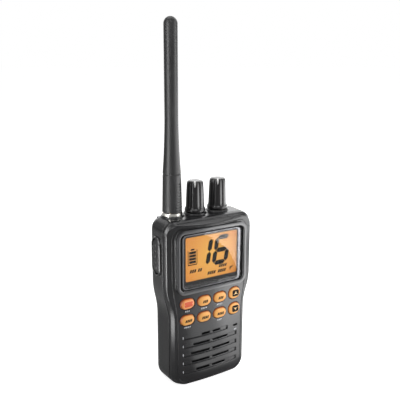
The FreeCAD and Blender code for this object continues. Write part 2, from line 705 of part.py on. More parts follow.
def rear_case():
    """Rear moulding: sides, top deck with three pedestals, battery pocket, foot and latch hump."""
    outer = Part.makeLoft([case_outline(0, PARTING_Y), case_outline(0, BACK_Y, BACK_LOWER_FLARE)], True, True)
    outer = flattened(outer).makeFillet(BACK_ROUND, edges_at(outer, lambda p: abs(p.y - BACK_Y) < MATCH))
    inner = Part.Face(case_outline(WALL, PARTING_Y - WALL)).extrude(V(0, BACK_Y - PARTING_Y, 0))
    inner = inner.makeChamfer(INNER_CHAMFER, edges_at(inner, lambda p: abs(p.y - BACK_Y + WALL) < MATCH))

    pocket_half = PACK_WIDTH / 2 + PACK_GAP
    pocket_block = box(-pocket_half - WALL, pocket_half + WALL, INNER_BACK_Y, BACK_Y,
                       WALL / 2, HUMP_BOTTOM + WALL)
    pocket = box(-pocket_half, pocket_half, POCKET_FLOOR_Y, PACK_BACK + WALL, FOOT_THICKNESS, HUMP_BOTTOM)
    foot = box(-PACK_WIDTH / 2, PACK_WIDTH / 2, POCKET_FLOOR_Y, BACK_Y + FOOT_REACH, 0, FOOT_THICKNESS)
    uprights = [e for e in edges_at(foot, lambda p: p.y > BACK_Y) if e.BoundBox.ZLength > FOOT_THICKNESS / 2]
    foot = foot.makeFillet(HUMP_ROUND, uprights)
    solids = [outer.cut(inner).fuse(pocket_block.common(outer)), foot, hump_box(0)]
    for x in (ANTENNA_X, VOLUME_X, SQUELCH_X):
        pedestal = rod(PEDESTAL_RADIUS, DECK_INNER_Z, PEDESTAL_Z, x, TOP_ROW_Y)
        rim = [e for e in pedestal.Edges if e.BoundBox.ZMin > PEDESTAL_Z - PEDESTAL_BEVEL]
        solids.append(pedestal.makeChamfer(PEDESTAL_BEVEL, rim))
    for x, z, _ in case_screw_places():
        solids.append(block_y(BOSS_SIDE, BOSS_SIDE, x, z, PARTING_Y, BACK_Y).common(outer))
    rib_x = PLUNGER_X + PLUNGER_HEIGHT + SWITCH_HEIGHT
    solids.append(box(rib_x, rib_x + SWITCH_RIB, PTT_Y - SWITCH_SIDE / 2, POCKET_FLOOR_Y,
                      PTT_Z - SWITCH_SIDE, PTT_Z + SWITCH_SIDE))
    solids.append(box(-TAB_X - TAB_WIDTH, TAB_X + TAB_WIDTH, INNER_BACK_Y - WALL, POCKET_FLOOR_Y,
                      WALL / 2, TAB_Z + WALL + TAB_THICKNESS))
    case = fuse(solids)

    cuts = [pocket, hump_box(WALL), gasket_ring(), latch_openings(), ptt_opening(), port_opening(),
            strap_root(BACK_Y + WALL)]
    for x in (VOLUME_X, SQUELCH_X):
        cuts.append(rod(BUSHING_RADIUS, DECK_INNER_Z - WALL, PEDESTAL_Z + WALL, x, TOP_ROW_Y))
    cuts.append(rod(JACK_BODY_RADIUS, DECK_INNER_Z - WALL, PEDESTAL_Z + WALL, ANTENNA_X, TOP_ROW_Y))
    for x, z, seat in case_screw_places():
        cuts.append(prism_y(6, SCREW_RADIUS, PARTING_Y, BACK_Y, x, z))
        cuts.append(bar_y(SCREW_HEAD_RADIUS, seat - SCREW_HEAD_HEIGHT, BACK_Y + WALL, x, z))
    for side in (-1, 1):
        cuts.append(tab_block(side * TAB_X, TAB_CLEARANCE, POCKET_FLOOR_Y))
    cuts.append(block_y(PAD_COUNT * PAD_PITCH, PAD_HEIGHT, 0, PAD_Z, INNER_BACK_Y, POCKET_FLOOR_Y))
    return carve(case, cuts).removeSplitter()


def tab_block(x, margin, back):
    """Battery tab below the pack's front edge, or its slot when margin is above zero."""
    half = TAB_WIDTH / 2 + margin
    thick = TAB_THICKNESS / 2 + margin
    front = PACK_FRONT_Y - PACK_GAP - TAB_REACH - margin
    return box(x - half, x + half, front, back, TAB_Z - thick, TAB_Z + thick)


def strap_lug():
    """Eye for a wrist strap, set in the back beside the hump."""
    y = BACK_Y + STRAP_HOLE_RADIUS
    bottom = HUMP_BOTTOM + STRAP_RISE
    lug = rod(STRAP_RADIUS, bottom, bottom + STRAP_HEIGHT, STRAP_X, y)
    eye = rod(STRAP_HOLE_RADIUS, bottom, bottom + STRAP_HEIGHT, STRAP_X, y)
    return fuse([lug, strap_root(y)]).cut(eye)


def strap_root(back):
    """Square root of the strap eye, from its seat in the wall out to a depth."""
    bottom = HUMP_BOTTOM + STRAP_RISE
    return box(STRAP_X - STRAP_RADIUS, STRAP_X + STRAP_RADIUS, BACK_Y - STRAP_WALL, back,
               bottom, bottom + STRAP_HEIGHT)


def gasket_ring(height=GASKET_HEIGHT):
    """Sealing cord in the middle of the wall at the parting plane."""
    margin = (WALL - GASKET_WIDTH) / 2
    outer = Part.Face(case_outline(margin, PARTING_Y)).extrude(V(0, height, 0))
    inner = Part.Face(case_outline(margin + GASKET_WIDTH, PARTING_Y)).extrude(V(0, height, 0))
    return outer.cut(inner)


def display_bezel():
    """Raised trim ring round the display."""
    ring = plate_y(BEZEL_WIDTH, BEZEL_HEIGHT, BEZEL_CORNER, 0, DISPLAY_Z, BEZEL_FRONT_Y, BEZEL_BACK_Y)
    ring = ring.makeChamfer(EDGE_ROUND, edges_at(ring, lambda p: p.y < BEZEL_FRONT_Y + MATCH))
    opening = plate_y(BEZEL_WIDTH - 2 * BEZEL_RIM, BEZEL_HEIGHT - 2 * BEZEL_RIM, BEZEL_CORNER - BEZEL_RIM,
                      0, DISPLAY_Z, BEZEL_FRONT_Y, BEZEL_BACK_Y)
    return ring.cut(opening)


def display_lens():
    lens = plate_y(LENS_WIDTH, LENS_HEIGHT, LENS_CORNER, 0, DISPLAY_Z, LENS_FRONT_Y, LENS_BACK_Y)
    return lens.makeChamfer(LENS_PROUD, edges_at(lens, lambda p: p.y < LENS_FRONT_Y + MATCH))


def display_glass():
    return block_y(GLASS_WIDTH, GLASS_HEIGHT, 0, DISPLAY_Z + GLASS_RISE,
                   GLASS_BACK_Y - GLASS_THICKNESS, GLASS_BACK_Y)


def display_backlight():
    """Light guide behind the display glass."""
    return block_y(GLASS_WIDTH, GLASS_HEIGHT, 0, DISPLAY_Z + GLASS_RISE,
                   GLASS_BACK_Y, GLASS_BACK_Y + BACKLIGHT_THICKNESS)


def display_frame():
    """Tray that holds the light guide against the display glass."""
    tray = block_y(GLASS_WIDTH + 2 * FRAME_MARGIN, GLASS_HEIGHT + 2 * FRAME_MARGIN, 0,
                   DISPLAY_Z + GLASS_RISE, DISPLAY_SEAT_Y, FRAME_BACK_Y)
    return tray.cut(display_backlight())


def main_board():
    return box(-BOARD_HALF, BOARD_HALF, BOARD_Y, BOARD_BACK_Y, BOARD_BOTTOM, BOARD_TOP)


def shield_cans():
    """Two pressed screening boxes on the back of the board."""
    cans = []
    width = 2 * (BOARD_HALF - CAN_MARGIN)
    height = (BOARD_TOP - BOARD_BOTTOM - CAN_SPLIT) / 2 - CAN_MARGIN
    for middle in (BOARD_BOTTOM + CAN_MARGIN + height / 2, BOARD_TOP - CAN_MARGIN - height / 2):
        outer = block_y(width, height, 0, middle, BOARD_BACK_Y, BOARD_BACK_Y + CAN_HEIGHT)
        inner = block_y(width - 2 * CAN_WALL, height - 2 * CAN_WALL, 0, middle,
                        BOARD_BACK_Y, BOARD_BACK_Y + CAN_HEIGHT - CAN_WALL)
        cans.append(outer.cut(inner))
    return Part.makeCompound(cans)


def key(x, z, width, height):
    """Domed key with a retaining lip behind the panel and a post over its dome."""
    crown_y = face_y(x) - KEY_PROUD
    lip_y = face_y(x) + WALL + KEY_GAP
    cap = plate_y(width, height, height / 2, x, z, crown_y, lip_y)
    cap = cap.makeChamfer(KEY_EDGE, edges_at(cap, lambda p: p.y < crown_y + MATCH))
    lip_back = lip_y + KEY_LIP_THICKNESS
    lip = block_y(width + 2 * KEY_LIP, height + 2 * KEY_LIP, x, z, lip_y, lip_back)
    post = block_y(KEY_POST, KEY_POST, x, z, lip_back, DOME_Y - CONTACT_GAP - KEY_TRAVEL)
    return fuse([cap, lip, post])


def key_domes():
    """Eight-sided snap domes on the board, one under each key."""
    domes = [prism_y(8, DOME_RADIUS, DOME_Y, BOARD_Y, x, z) for _, x, z, _, _ in key_places()]
    return Part.makeCompound(domes)


def keypad_web():
    """Rubber sheet over the domes, with a rim that rests on the board."""
    reach = DOME_RADIUS + KEY_GAP + WEB_RIM
    width = KEY_COLUMNS[-1] - KEY_COLUMNS[0] + 2 * reach
    height = KEY_ROW_UPPER - KEY_ROW_LOWER + 2 * reach
    middle = (KEY_ROW_UPPER + KEY_ROW_LOWER) / 2
    sheet_y = DOME_Y - CONTACT_GAP - WEB_THICKNESS
    sheet = block_y(width, height, 0, middle, sheet_y, BOARD_Y)
    hollow = block_y(width - 2 * WEB_RIM, height - 2 * WEB_RIM, 0, middle, sheet_y + WEB_THICKNESS, BOARD_Y)
    hole = KEY_POST + 2 * KEY_GAP
    holes = [block_y(hole, hole, x, z, sheet_y, BOARD_Y) for _, x, z, _, _ in key_places()]
    return carve(sheet, [hollow] + holes)


def speaker_mesh():
    """Woven cloth over the grille slots."""
    return bar_y(SPEAKER_RADIUS - KEY_GAP, SPEAKER_SEAT_Y, SPEAKER_SEAT_Y + MESH_THICKNESS, 0, SPEAKER_Z)


def speaker_frame():
    """Pressed basket with a flat rim and a sloped wall."""
    rim_y = SPEAKER_SEAT_Y + MESH_THICKNESS
    inner = SPEAKER_RADIUS - SPEAKER_RIM
    deep = rim_y + SPEAKER_DEPTH
    points = [(SPEAKER_RADIUS, rim_y), (SPEAKER_RADIUS, rim_y + SPEAKER_RIM_THICKNESS),
              (inner + SPEAKER_RIM_THICKNESS, rim_y + SPEAKER_RIM_THICKNESS), (MAGNET_RADIUS, deep),
              (MAGNET_RADIUS - SPEAKER_RIM_THICKNESS, deep), (inner, rim_y)]
    return turned_y(points, 0, SPEAKER_Z)


def speaker_cone():
    """Paper cone with a flat middle."""
    rim_y = SPEAKER_SEAT_Y + MESH_THICKNESS
    edge = SPEAKER_RADIUS - SPEAKER_RIM - 2 * CONE_THICKNESS
    throat = MAGNET_RADIUS / 2
    deep = rim_y + SPEAKER_DEPTH / 2
    points = [(0, deep), (throat, deep), (edge, rim_y), (edge, rim_y + CONE_THICKNESS),
              (throat, deep + CONE_THICKNESS), (0, deep + CONE_THICKNESS)]
    return turned_y(points, 0, SPEAKER_Z)


def speaker_magnet():
    magnet_y = SPEAKER_SEAT_Y + MESH_THICKNESS + SPEAKER_DEPTH
    return bar_y(MAGNET_RADIUS, magnet_y, magnet_y + MAGNET_DEPTH, 0, SPEAKER_Z)


def microphone():
    mic_y = face_y(MIC_X) + WALL
    return bar_y(MIC_RADIUS, mic_y, mic_y + MIC_LENGTH, MIC_X, MIC_Z)


def potentiometer(x):
    """Pot body under the deck with its threaded bushing through it."""
    top = DECK_INNER_Z - POT_DROP
    half = POT_SIDE / 2
    body = box(x - half, x + half, TOP_ROW_Y - half, TOP_ROW_Y + half, top - POT_HEIGHT, top)
    bushing = rod(BUSHING_RADIUS, top, PEDESTAL_Z + BUSHING_RISE, x, TOP_ROW_Y)
    well = rod(SHAFT_RADIUS + RUNNING_GAP, top - SHAFT_REACH, PEDESTAL_Z + BUSHING_RISE, x, TOP_ROW_Y)
    return fuse([body, bushing]).cut(well)


def pot_nuts():
    """Hexagon nuts that clamp both pots to the deck."""
    nuts = []
    for x in (VOLUME_X, SQUELCH_X):
        nut = prism(6, NUT_RADIUS, PEDESTAL_Z, PEDESTAL_Z + NUT_HEIGHT, x, TOP_ROW_Y)
        nuts.append(nut.cut(rod(BUSHING_RADIUS, PEDESTAL_Z, PEDESTAL_Z + NUT_HEIGHT, x, TOP_ROW_Y)))
    return Part.makeCompound(nuts)


def knob_seals():
    """Rubber rings on the bushings, under the knobs."""
    low = PEDESTAL_Z + BUSHING_RISE
    seals = []
    for x in (VOLUME_X, SQUELCH_X):
        seal = rod(BUSHING_RADIUS, low, low + SEAL_HEIGHT, x, TOP_ROW_Y)
        seals.append(seal.cut(rod(SHAFT_RADIUS + RUNNING_GAP, low, low + SEAL_HEIGHT, x, TOP_ROW_Y)))
    return Part.makeCompound(seals)


def knob_shaft(x):
    """Control shaft from inside the pot up into its knob."""
    return rod(SHAFT_RADIUS, DECK_INNER_Z - POT_DROP - SHAFT_REACH + RUNNING_GAP,
               PEDESTAL_Z + KNOB_HEIGHT - SHAFT_TOP_GAP, x, TOP_ROW_Y)


def ribbed_loop(radius, z):
    """Star outline of a ribbed knob about the local origin, at height z."""
    points = []
    for index in range(2 * KNOB_RIBS + 1):
        angle = math.pi * (index + 0.5) / KNOB_RIBS
        r = radius - RIB_DEPTH * (index % 2)
        points.append(V(r * math.cos(angle), r * math.sin(angle), z))
    return Part.makePolygon(points)


def knob_body(x):
    """Ribbed, tapered knob with a flared foot, hollow over its nut and shaft."""
    low = PEDESTAL_Z + KNOB_FLOAT
    top = PEDESTAL_Z + KNOB_HEIGHT
    foot = low + KNOB_FLANGE_HEIGHT
    body = Part.makeLoft([ribbed_loop(KNOB_BASE_RADIUS, low), ribbed_loop(KNOB_TOP_RADIUS, top - KNOB_CROWN),
                          ribbed_loop(KNOB_TOP_RADIUS - KNOB_CROWN_BEVEL, top)], True, True)
    body.translate(V(x, TOP_ROW_Y, 0))
    skirt = turned([(0, low), (KNOB_FLANGE_RADIUS, low), (KNOB_FLANGE_RADIUS, foot - KNOB_FLANGE_SLOPE),
                    (KNOB_BASE_RADIUS, foot), (0, foot)], x, TOP_ROW_Y)
    well_top = PEDESTAL_Z + BUSHING_RISE + SEAL_HEIGHT + PACK_GAP
    hollow = rod(NUT_RADIUS + PACK_GAP, low, well_top, x, TOP_ROW_Y)
    return body.fuse(skirt).cut(fuse([hollow, knob_shaft(x)]))


def pointer_block(x):
    """Block that the white pointer takes out of the knob's shoulder."""
    top = PEDESTAL_Z + KNOB_HEIGHT
    reach = KNOB_BASE_RADIUS
    block = box(-POINTER_WIDTH / 2, POINTER_WIDTH / 2, -reach, -KNOB_TOP_RADIUS / 2, top - POINTER_DROP, top)
    block.rotate(V(0, 0, 0), Z_AXIS, -POINTER_ANGLE)
    block.translate(V(x, TOP_ROW_Y, 0))
    return block


def knob(x):
    return knob_body(x).cut(pointer_block(x))


def knob_pointer(x):
    return knob_body(x).common(pointer_block(x))


def antenna_jack():
    """Metal jack moulded into the deck: a polished collar, a threaded well and a pin socket."""
    bottom = JACK_TOP_Z - JACK_LENGTH
    well_bottom = STUD_BOTTOM - BOOT_GAP
    jack = rod(JACK_BODY_RADIUS, bottom, PEDESTAL_Z, ANTENNA_X, TOP_ROW_Y)
    collar = rod(JACK_RADIUS, PEDESTAL_Z, JACK_TOP_Z, ANTENNA_X, TOP_ROW_Y)
    rim = [e for e in collar.Edges if e.BoundBox.ZMin > JACK_TOP_Z - BOOT_GAP]
    collar = collar.makeChamfer(EDGE_ROUND / 2, rim)
    well = rod(STUD_RADIUS + RUNNING_GAP, well_bottom, JACK_TOP_Z, ANTENNA_X, TOP_ROW_Y)
    socket = rod(PIN_RADIUS + RUNNING_GAP, bottom + JACK_FLOOR, well_bottom, ANTENNA_X, TOP_ROW_Y)
    return fuse([jack, collar]).cut(fuse([well, socket]))


def antenna_pin():
    """Centre contact of the antenna plug."""
    return rod(PIN_RADIUS, STUD_BOTTOM - PIN_REACH, BOOT_Z + PLUG_FLANGE_HEIGHT / 2, ANTENNA_X, TOP_ROW_Y)


def antenna_plug():
    """Threaded stud, flange and cup that carry the whip."""
    flange_top = BOOT_Z + PLUG_FLANGE_HEIGHT
    stud = rod(STUD_RADIUS, STUD_BOTTOM, BOOT_Z, ANTENNA_X, TOP_ROW_Y)
    flange = rod(PLUG_FLANGE_RADIUS, BOOT_Z, flange_top, ANTENNA_X, TOP_ROW_Y)
    cup = rod(CORE_RADIUS + WALL, flange_top, flange_top + PLUG_CUP_HEIGHT, ANTENNA_X, TOP_ROW_Y)
    bore = rod(PIN_RADIUS + RUNNING_GAP, STUD_BOTTOM, BOOT_Z + PLUG_FLANGE_HEIGHT / 2 + RUNNING_GAP,
               ANTENNA_X, TOP_ROW_Y)
    return fuse([stud, flange, cup]).cut(fuse([bore, antenna_core()]))


def antenna_core():
    """Glass-fibre rod with its wound conductor, drawn as one round rod."""
    return rod(CORE_RADIUS, CORE_BOTTOM, ANTENNA_TOP - CORE_TOP_GAP, ANTENNA_X, TOP_ROW_Y)


def antenna_sheath():
    """Rubber whip: a boot with relief slots, a seam, a hollow taper and a round tip."""
    def point(radius, z):
        return V(ANTENNA_X + radius, TOP_ROW_Y, z)

    seam = BOOT_Z + BOOT_HEIGHT
    taper = seam + TAPER_HEIGHT
    tip = ANTENNA_TOP - WHIP_RADIUS
    slant = WHIP_RADIUS * math.sqrt(0.5)
    lean = (BOOT_TOP_RADIUS - WHIP_RADIUS) / 2
    edges = [
        Part.makeLine(point(0, BOOT_Z), point(BOOT_BASE_RADIUS, BOOT_Z)),
        Part.makeLine(point(BOOT_BASE_RADIUS, BOOT_Z), point(BOOT_TOP_RADIUS, seam - SEAM_HEIGHT)),
        Part.makeLine(point(BOOT_TOP_RADIUS, seam - SEAM_HEIGHT), point(BOOT_TOP_RADIUS - SEAM_DEPTH, seam)),
        Part.makeLine(point(BOOT_TOP_RADIUS - SEAM_DEPTH, seam), point(BOOT_TOP_RADIUS, seam + SEAM_HEIGHT)),
        Part.Arc(point(BOOT_TOP_RADIUS, seam + SEAM_HEIGHT),
                 point(WHIP_RADIUS + lean * 2 / 3, (seam + taper) / 2), point(WHIP_RADIUS, taper)).toShape(),
        Part.makeLine(point(WHIP_RADIUS, taper), point(WHIP_RADIUS, tip)),
        Part.Arc(point(WHIP_RADIUS, tip), point(slant, tip + slant), point(0, ANTENNA_TOP)).toShape(),
        Part.makeLine(point(0, ANTENNA_TOP), point(0, BOOT_Z)),
    ]
    sheath = Part.Face(Part.Wire(edges)).revolve(V(ANTENNA_X, TOP_ROW_Y, 0), Z_AXIS, 360)
    flange_top = BOOT_Z + PLUG_FLANGE_HEIGHT
    hollow = [rod(PLUG_FLANGE_RADIUS, BOOT_Z, flange_top, ANTENNA_X, TOP_ROW_Y),
              rod(CORE_RADIUS + WALL, flange_top, flange_top + PLUG_CUP_HEIGHT, ANTENNA_X, TOP_ROW_Y),
              antenna_core()]
    return sheath.cut(fuse(hollow)).cut(fuse(relief_slots()))


def relief_slots():
    """Ladder of bending-relief slots on the boot, narrower towards the top."""
    slots = []
    for index in range(RELIEF_SLOTS):
        share = index / (RELIEF_SLOTS - 1)
        spread = RELIEF_WIDE + (RELIEF_NARROW - RELIEF_WIDE) * share
        z = BOOT_Z + RELIEF_SLOT + index * RELIEF_PITCH
        radius = BOOT_BASE_RADIUS + (BOOT_TOP_RADIUS - BOOT_BASE_RADIUS) * (z - BOOT_Z) / BOOT_HEIGHT
        ring = Part.makeCylinder(radius + RELIEF_DEPTH, RELIEF_SLOT, V(0, 0, z), Z_AXIS, spread)
        ring = ring.cut(Part.makeCylinder(radius - RELIEF_DEPTH, RELIEF_SLOT, V(0, 0, z), Z_AXIS))
        ring.rotate(V(0, 0, 0), Z_AXIS, -90 + RELIEF_ANGLE - spread / 2)
        ring.translate(V(ANTENNA_X, TOP_ROW_Y, 0))
        slots.append(ring)
    return slots


def ptt_opening():
    """Seat for the rim and the hole for the button in the left wall."""
    hole_width = PTT_WIDTH - 2 * PTT_RIM + 2 * PTT_LIP
    hole_height = PTT_HEIGHT - 2 * PTT_RIM + 2 * PTT_LIP
    outside = -UPPER_HALF - WALL
    hole = block_x(hole_width + PTT_GAP, hole_height + PTT_GAP, PTT_Y, PTT_Z, outside, -UPPER_HALF + 2 * WALL)
    seat = plate_x(PTT_WIDTH + KEY_GAP / 2, PTT_HEIGHT + KEY_GAP / 2, PTT_WIDTH, PTT_Y, PTT_Z,
                   outside, -UPPER_HALF + PTT_SEAT)
    return hole.fuse(seat)


def ptt_bezel():
    """Raised oval rim round the push-to-talk button."""
    outer_x = -UPPER_HALF - PTT_RIM_PROUD
    ring = plate_x(PTT_WIDTH, PTT_HEIGHT, PTT_WIDTH, PTT_Y, PTT_Z, outer_x, -UPPER_HALF + PTT_SEAT)
    ring = ring.makeChamfer(PTT_RIM_BEVEL, edges_at(ring, lambda p: p.x < outer_x + MATCH))
    opening = plate_x(PTT_WIDTH - 2 * PTT_RIM, PTT_HEIGHT - 2 * PTT_RIM, PTT_WIDTH, PTT_Y, PTT_Z,
                      outer_x, -UPPER_HALF + PTT_SEAT)
    return ring.cut(opening)


def ptt_button():
    """Push-to-talk pad with a lip behind the rim and a post over the switch."""
    head_x = -UPPER_HALF - PTT_RIM_PROUD - PTT_PROUD
    lip_x = -UPPER_HALF + PTT_SEAT + CONTACT_GAP
    width = PTT_WIDTH - 2 * PTT_RIM - 2 * PTT_GAP
    height = PTT_HEIGHT - 2 * PTT_RIM - 2 * PTT_GAP
    head = plate_x(width, height, PTT_WIDTH, PTT_Y, PTT_Z, head_x, lip_x)
    head = head.makeChamfer(EDGE_ROUND, edges_at(head, lambda p: p.x < head_x + MATCH))
    lip = block_x(width + 2 * PTT_LIP, height + 2 * PTT_LIP, PTT_Y, PTT_Z, lip_x, lip_x + PTT_LIP_THICKNESS)
    post = block_x(PTT_POST_WIDTH, PTT_POST_HEIGHT, PTT_Y, PTT_Z, lip_x + PTT_LIP_THICKNESS, PTT_POST_X)
    return fuse([head, lip, post])


def ptt_switch():
    """Tact switch on the rib behind the button."""
    face_x = PLUNGER_X + PLUNGER_HEIGHT
    body = block_x(SWITCH_SIDE, SWITCH_SIDE, PTT_Y, PTT_Z, face_x, face_x + SWITCH_HEIGHT)
    return body.fuse(bar_x(SWITCH_SIDE / 4, PLUNGER_X, face_x, PTT_Y, PTT_Z))


def port_opening():
    """Recess for the cover and the hole in front of the jack in the right wall."""
    recess = plate_x(COVER_WIDTH + 2 * COVER_GAP, COVER_HEIGHT + 2 * COVER_GAP, COVER_WIDTH, PORT_Y, PORT_Z,
                     PORT_X, UPPER_HALF + WALL)
    return recess.fuse(bar_x(PORT_HOLE_RADIUS, UPPER_HALF - 2 * WALL, PORT_X, PORT_Y, PORT_Z))


def accessory_jack():
    """Speaker-microphone jack behind its hole in the wall."""
    wall_x = UPPER_HALF - WALL
    body = block_x(PORT_BODY, PORT_BODY_HEIGHT, PORT_Y, PORT_Z, wall_x - PORT_LENGTH, wall_x)
    return body.cut(bar_x(PORT_BORE, wall_x - PORT_LENGTH + WALL, wall_x, PORT_Y, PORT_Z))


def jack_cover():
    """Rubber cover that hinges at its top edge and plugs the hole in front of the jack."""
    inner_x = PORT_X + CONTACT_GAP
    outer_x = inner_x + COVER_THICKNESS
    plate = plate_x(COVER_WIDTH, COVER_HEIGHT, COVER_WIDTH, PORT_Y, PORT_Z, inner_x, outer_x)
    rim = edges_at(plate, lambda p: p.x > outer_x - MATCH)
    plate = plate.makeChamfer(EDGE_ROUND / 2, rim)
    plug = bar_x(PORT_HOLE_RADIUS - COVER_PLUG_GAP, UPPER_HALF - WALL + CONTACT_GAP, inner_x, PORT_Y, PORT_Z)
    return plate.fuse(plug)


def latch_openings():
    """Slot for the hook in the hump's floor and for the thumb piece in its back wall."""
    half = HOOK_WIDTH / 2 + PACK_GAP
    front = HOOK_CATCH_Y - HOOK_SLOPE * PACK_TOP_GAP - PACK_GAP
    hook_slot = box(-half, half, front, HOOK_BACK_Y + PACK_GAP, HUMP_BOTTOM, HUMP_BOTTOM + WALL)
    low = LATCH_BOTTOM + EDGE_ROUND
    high = LATCH_BOTTOM + LATCH_PLATE_HEIGHT - EDGE_ROUND + LATCH_TRAVEL
    thumb_slot = box(-half, half, HUMP_INNER_Y, PACK_BACK, low - PACK_GAP, high + PACK_GAP)
    return hook_slot.fuse(thumb_slot)


def battery_latch():
    """Sliding latch: a plate in the hump, a ramped hook and a ribbed thumb piece."""
    top = LATCH_BOTTOM + LATCH_PLATE_HEIGHT
    plate = box(-LATCH_WIDTH / 2, LATCH_WIDTH / 2, LATCH_Y, LATCH_Y + LATCH_PLATE, LATCH_BOTTOM, top)
    root_y = HOOK_CATCH_Y - HOOK_SLOPE * PACK_TOP_GAP
    tip_z = PACK_TOP - HOOK_REACH
    profile = [(root_y, LATCH_BOTTOM + WALL / 2), (root_y, HUMP_BOTTOM),
               (HOOK_CATCH_Y + HOOK_SLOPE * HOOK_REACH, tip_z), (HOOK_BACK_Y, tip_z),
               (HOOK_BACK_Y, LATCH_BOTTOM), (LATCH_Y + LATCH_PLATE, LATCH_BOTTOM),
               (LATCH_Y + LATCH_PLATE, LATCH_BOTTOM + WALL / 2)]
    loop = Part.makePolygon([V(-HOOK_WIDTH / 2, y, z) for y, z in profile + profile[:1]])
    hook = Part.Face(loop).extrude(V(HOOK_WIDTH, 0, 0))
    neck_half = HOOK_WIDTH / 2
    neck = box(-neck_half, neck_half, LATCH_Y, PACK_BACK + LATCH_GAP, LATCH_BOTTOM + EDGE_ROUND,
               top - EDGE_ROUND)
    thumb_y = PACK_BACK + LATCH_GAP
    thumb = block_y(LATCH_WIDTH, LATCH_PLATE_HEIGHT, 0, (LATCH_BOTTOM + top) / 2,
                    thumb_y, thumb_y + THUMB_THICKNESS)
    rim = edges_at(thumb, lambda p: p.y > thumb_y + THUMB_THICKNESS - MATCH)
    thumb = thumb.makeChamfer(EDGE_ROUND / 2, rim)
    pitch = LATCH_PLATE_HEIGHT / (THUMB_RIDGES + 1)
    ridges = [bar_x(EDGE_ROUND / 2, -LATCH_WIDTH / 3, LATCH_WIDTH / 3, thumb_y + THUMB_THICKNESS,
                    LATCH_BOTTOM + pitch * (index + 1)) for index in range(THUMB_RIDGES)]
    return fuse([plate, hook, neck, thumb] + ridges)


def latch_spring():
    """Return spring between the latch plate and the hump's roof."""
    low = LATCH_BOTTOM + LATCH_PLATE_HEIGHT
    start = V(0, HUMP_INNER_Y - LATCH_GAP - SPRING_RADIUS - SPRING_WIRE / 2, low)
    return coil(SPRING_RADIUS, SPRING_WIRE, SPRING_TURNS, HUMP_TOP - WALL - low, start, Z_AXIS)


def battery_case():
    """Back moulding of the pack with round edges, a catch for the hook and charging pads."""
    front = PACK_FRONT_Y + LID_THICKNESS
    half = PACK_WIDTH / 2
    outer = box(-half, half, front, PACK_BACK, PACK_BOTTOM, PACK_TOP)
    back_edges = edges_at(outer, lambda p: p.y > PACK_BACK - MATCH)
    rounded = [e for e in back_edges if e.BoundBox.ZMax < PACK_TOP or e.BoundBox.ZLength > PACK_ROUND]
    outer = outer.makeFillet(PACK_ROUND, rounded)
    inner = box(-half + PACK_WALL, half - PACK_WALL, front, PACK_BACK - PACK_WALL,
                PACK_BOTTOM + PACK_WALL, PACK_TOP - PACK_TOP_WALL)
    inner_edges = edges_at(inner, lambda p: p.y > PACK_BACK - PACK_WALL - MATCH)
    inner = inner.makeFillet(PACK_ROUND - PACK_WALL, inner_edges)
    catch_half = HOOK_WIDTH / 2 + 2 * PACK_GAP
    notch = box(-catch_half, catch_half, HOOK_CATCH_Y - NOTCH_GAP, HOOK_BACK_Y + 2 * NOTCH_GAP,
                PACK_TOP - HOOK_REACH - 2 * NOTCH_GAP, PACK_TOP)
    cuts = [inner, notch, charge_pads()] + [screw for screw in clip_screw_shapes()]
    return carve(outer, cuts)


def battery_lid():
    """Front plate of the pack with its two tabs and the recesses of the contact pads."""
    half = PACK_WIDTH / 2
    plate = box(-half, half, PACK_FRONT_Y, PACK_FRONT_Y + LID_THICKNESS, PACK_BOTTOM, PACK_TOP)
    foot_edge = edges_at(plate, lambda p: p.y < PACK_FRONT_Y + MATCH and p.z < PACK_BOTTOM + MATCH)
    plate = plate.makeFillet(EDGE_ROUND, foot_edge)
    tabs = [tab_block(side * TAB_X, 0, PACK_FRONT_Y + LID_THICKNESS / 2) for side in (-1, 1)]
    return fuse([plate] + tabs).cut(fuse(contact_pads()))


def pad_places():
    """x of each battery contact, evenly spaced about the middle."""
    return [(index - (PAD_COUNT - 1) / 2) * PAD_PITCH for index in range(PAD_COUNT)]


def contact_pads():
    """Gold pads on the pack's front."""
    pads = []
    for x in pad_places():
        pads.append(box(x - PAD_WIDTH / 2, x + PAD_WIDTH / 2, PACK_FRONT_Y, PACK_FRONT_Y + PAD_THICKNESS,
                        PAD_Z - PAD_HEIGHT / 2, PAD_Z + PAD_HEIGHT / 2))
    return pads


def charge_pads():
    """Round charging pads low on the pack's back."""
    low = PACK_BACK - PAD_THICKNESS
    return Part.makeCompound([bar_y(CHARGE_RADIUS, low, PACK_BACK, side * CHARGE_X, CHARGE_Z)
                              for side in (-1, 1)])


def pack_contacts():
    return Part.makeCompound(contact_pads() + charge_pads().Solids)


def battery_cells():
    """Two flat lithium cells, one above the other."""
    half = PACK_WIDTH / 2 - PACK_WALL - CELL_GAP
    low = PACK_BOTTOM + PACK_WALL + CELL_GAP
    high = PACK_TOP - PACK_TOP_WALL - CELL_GAP
    front = PACK_FRONT_Y + LID_THICKNESS + CELL_GAP
    back = PACK_BACK - PACK_WALL - CELL_GAP
    height = (high - low - CELL_SPACING) / 2
    cells = []
    for bottom in (low, low + height + CELL_SPACING):
        cell = box(-half, half, front, back, bottom, bottom + height)
        cells.append(cell.makeFillet(PACK_ROUND - PACK_WALL, edges_at(cell, lambda p: p.y > back - MATCH)))
    return Part.makeCompound(cells)


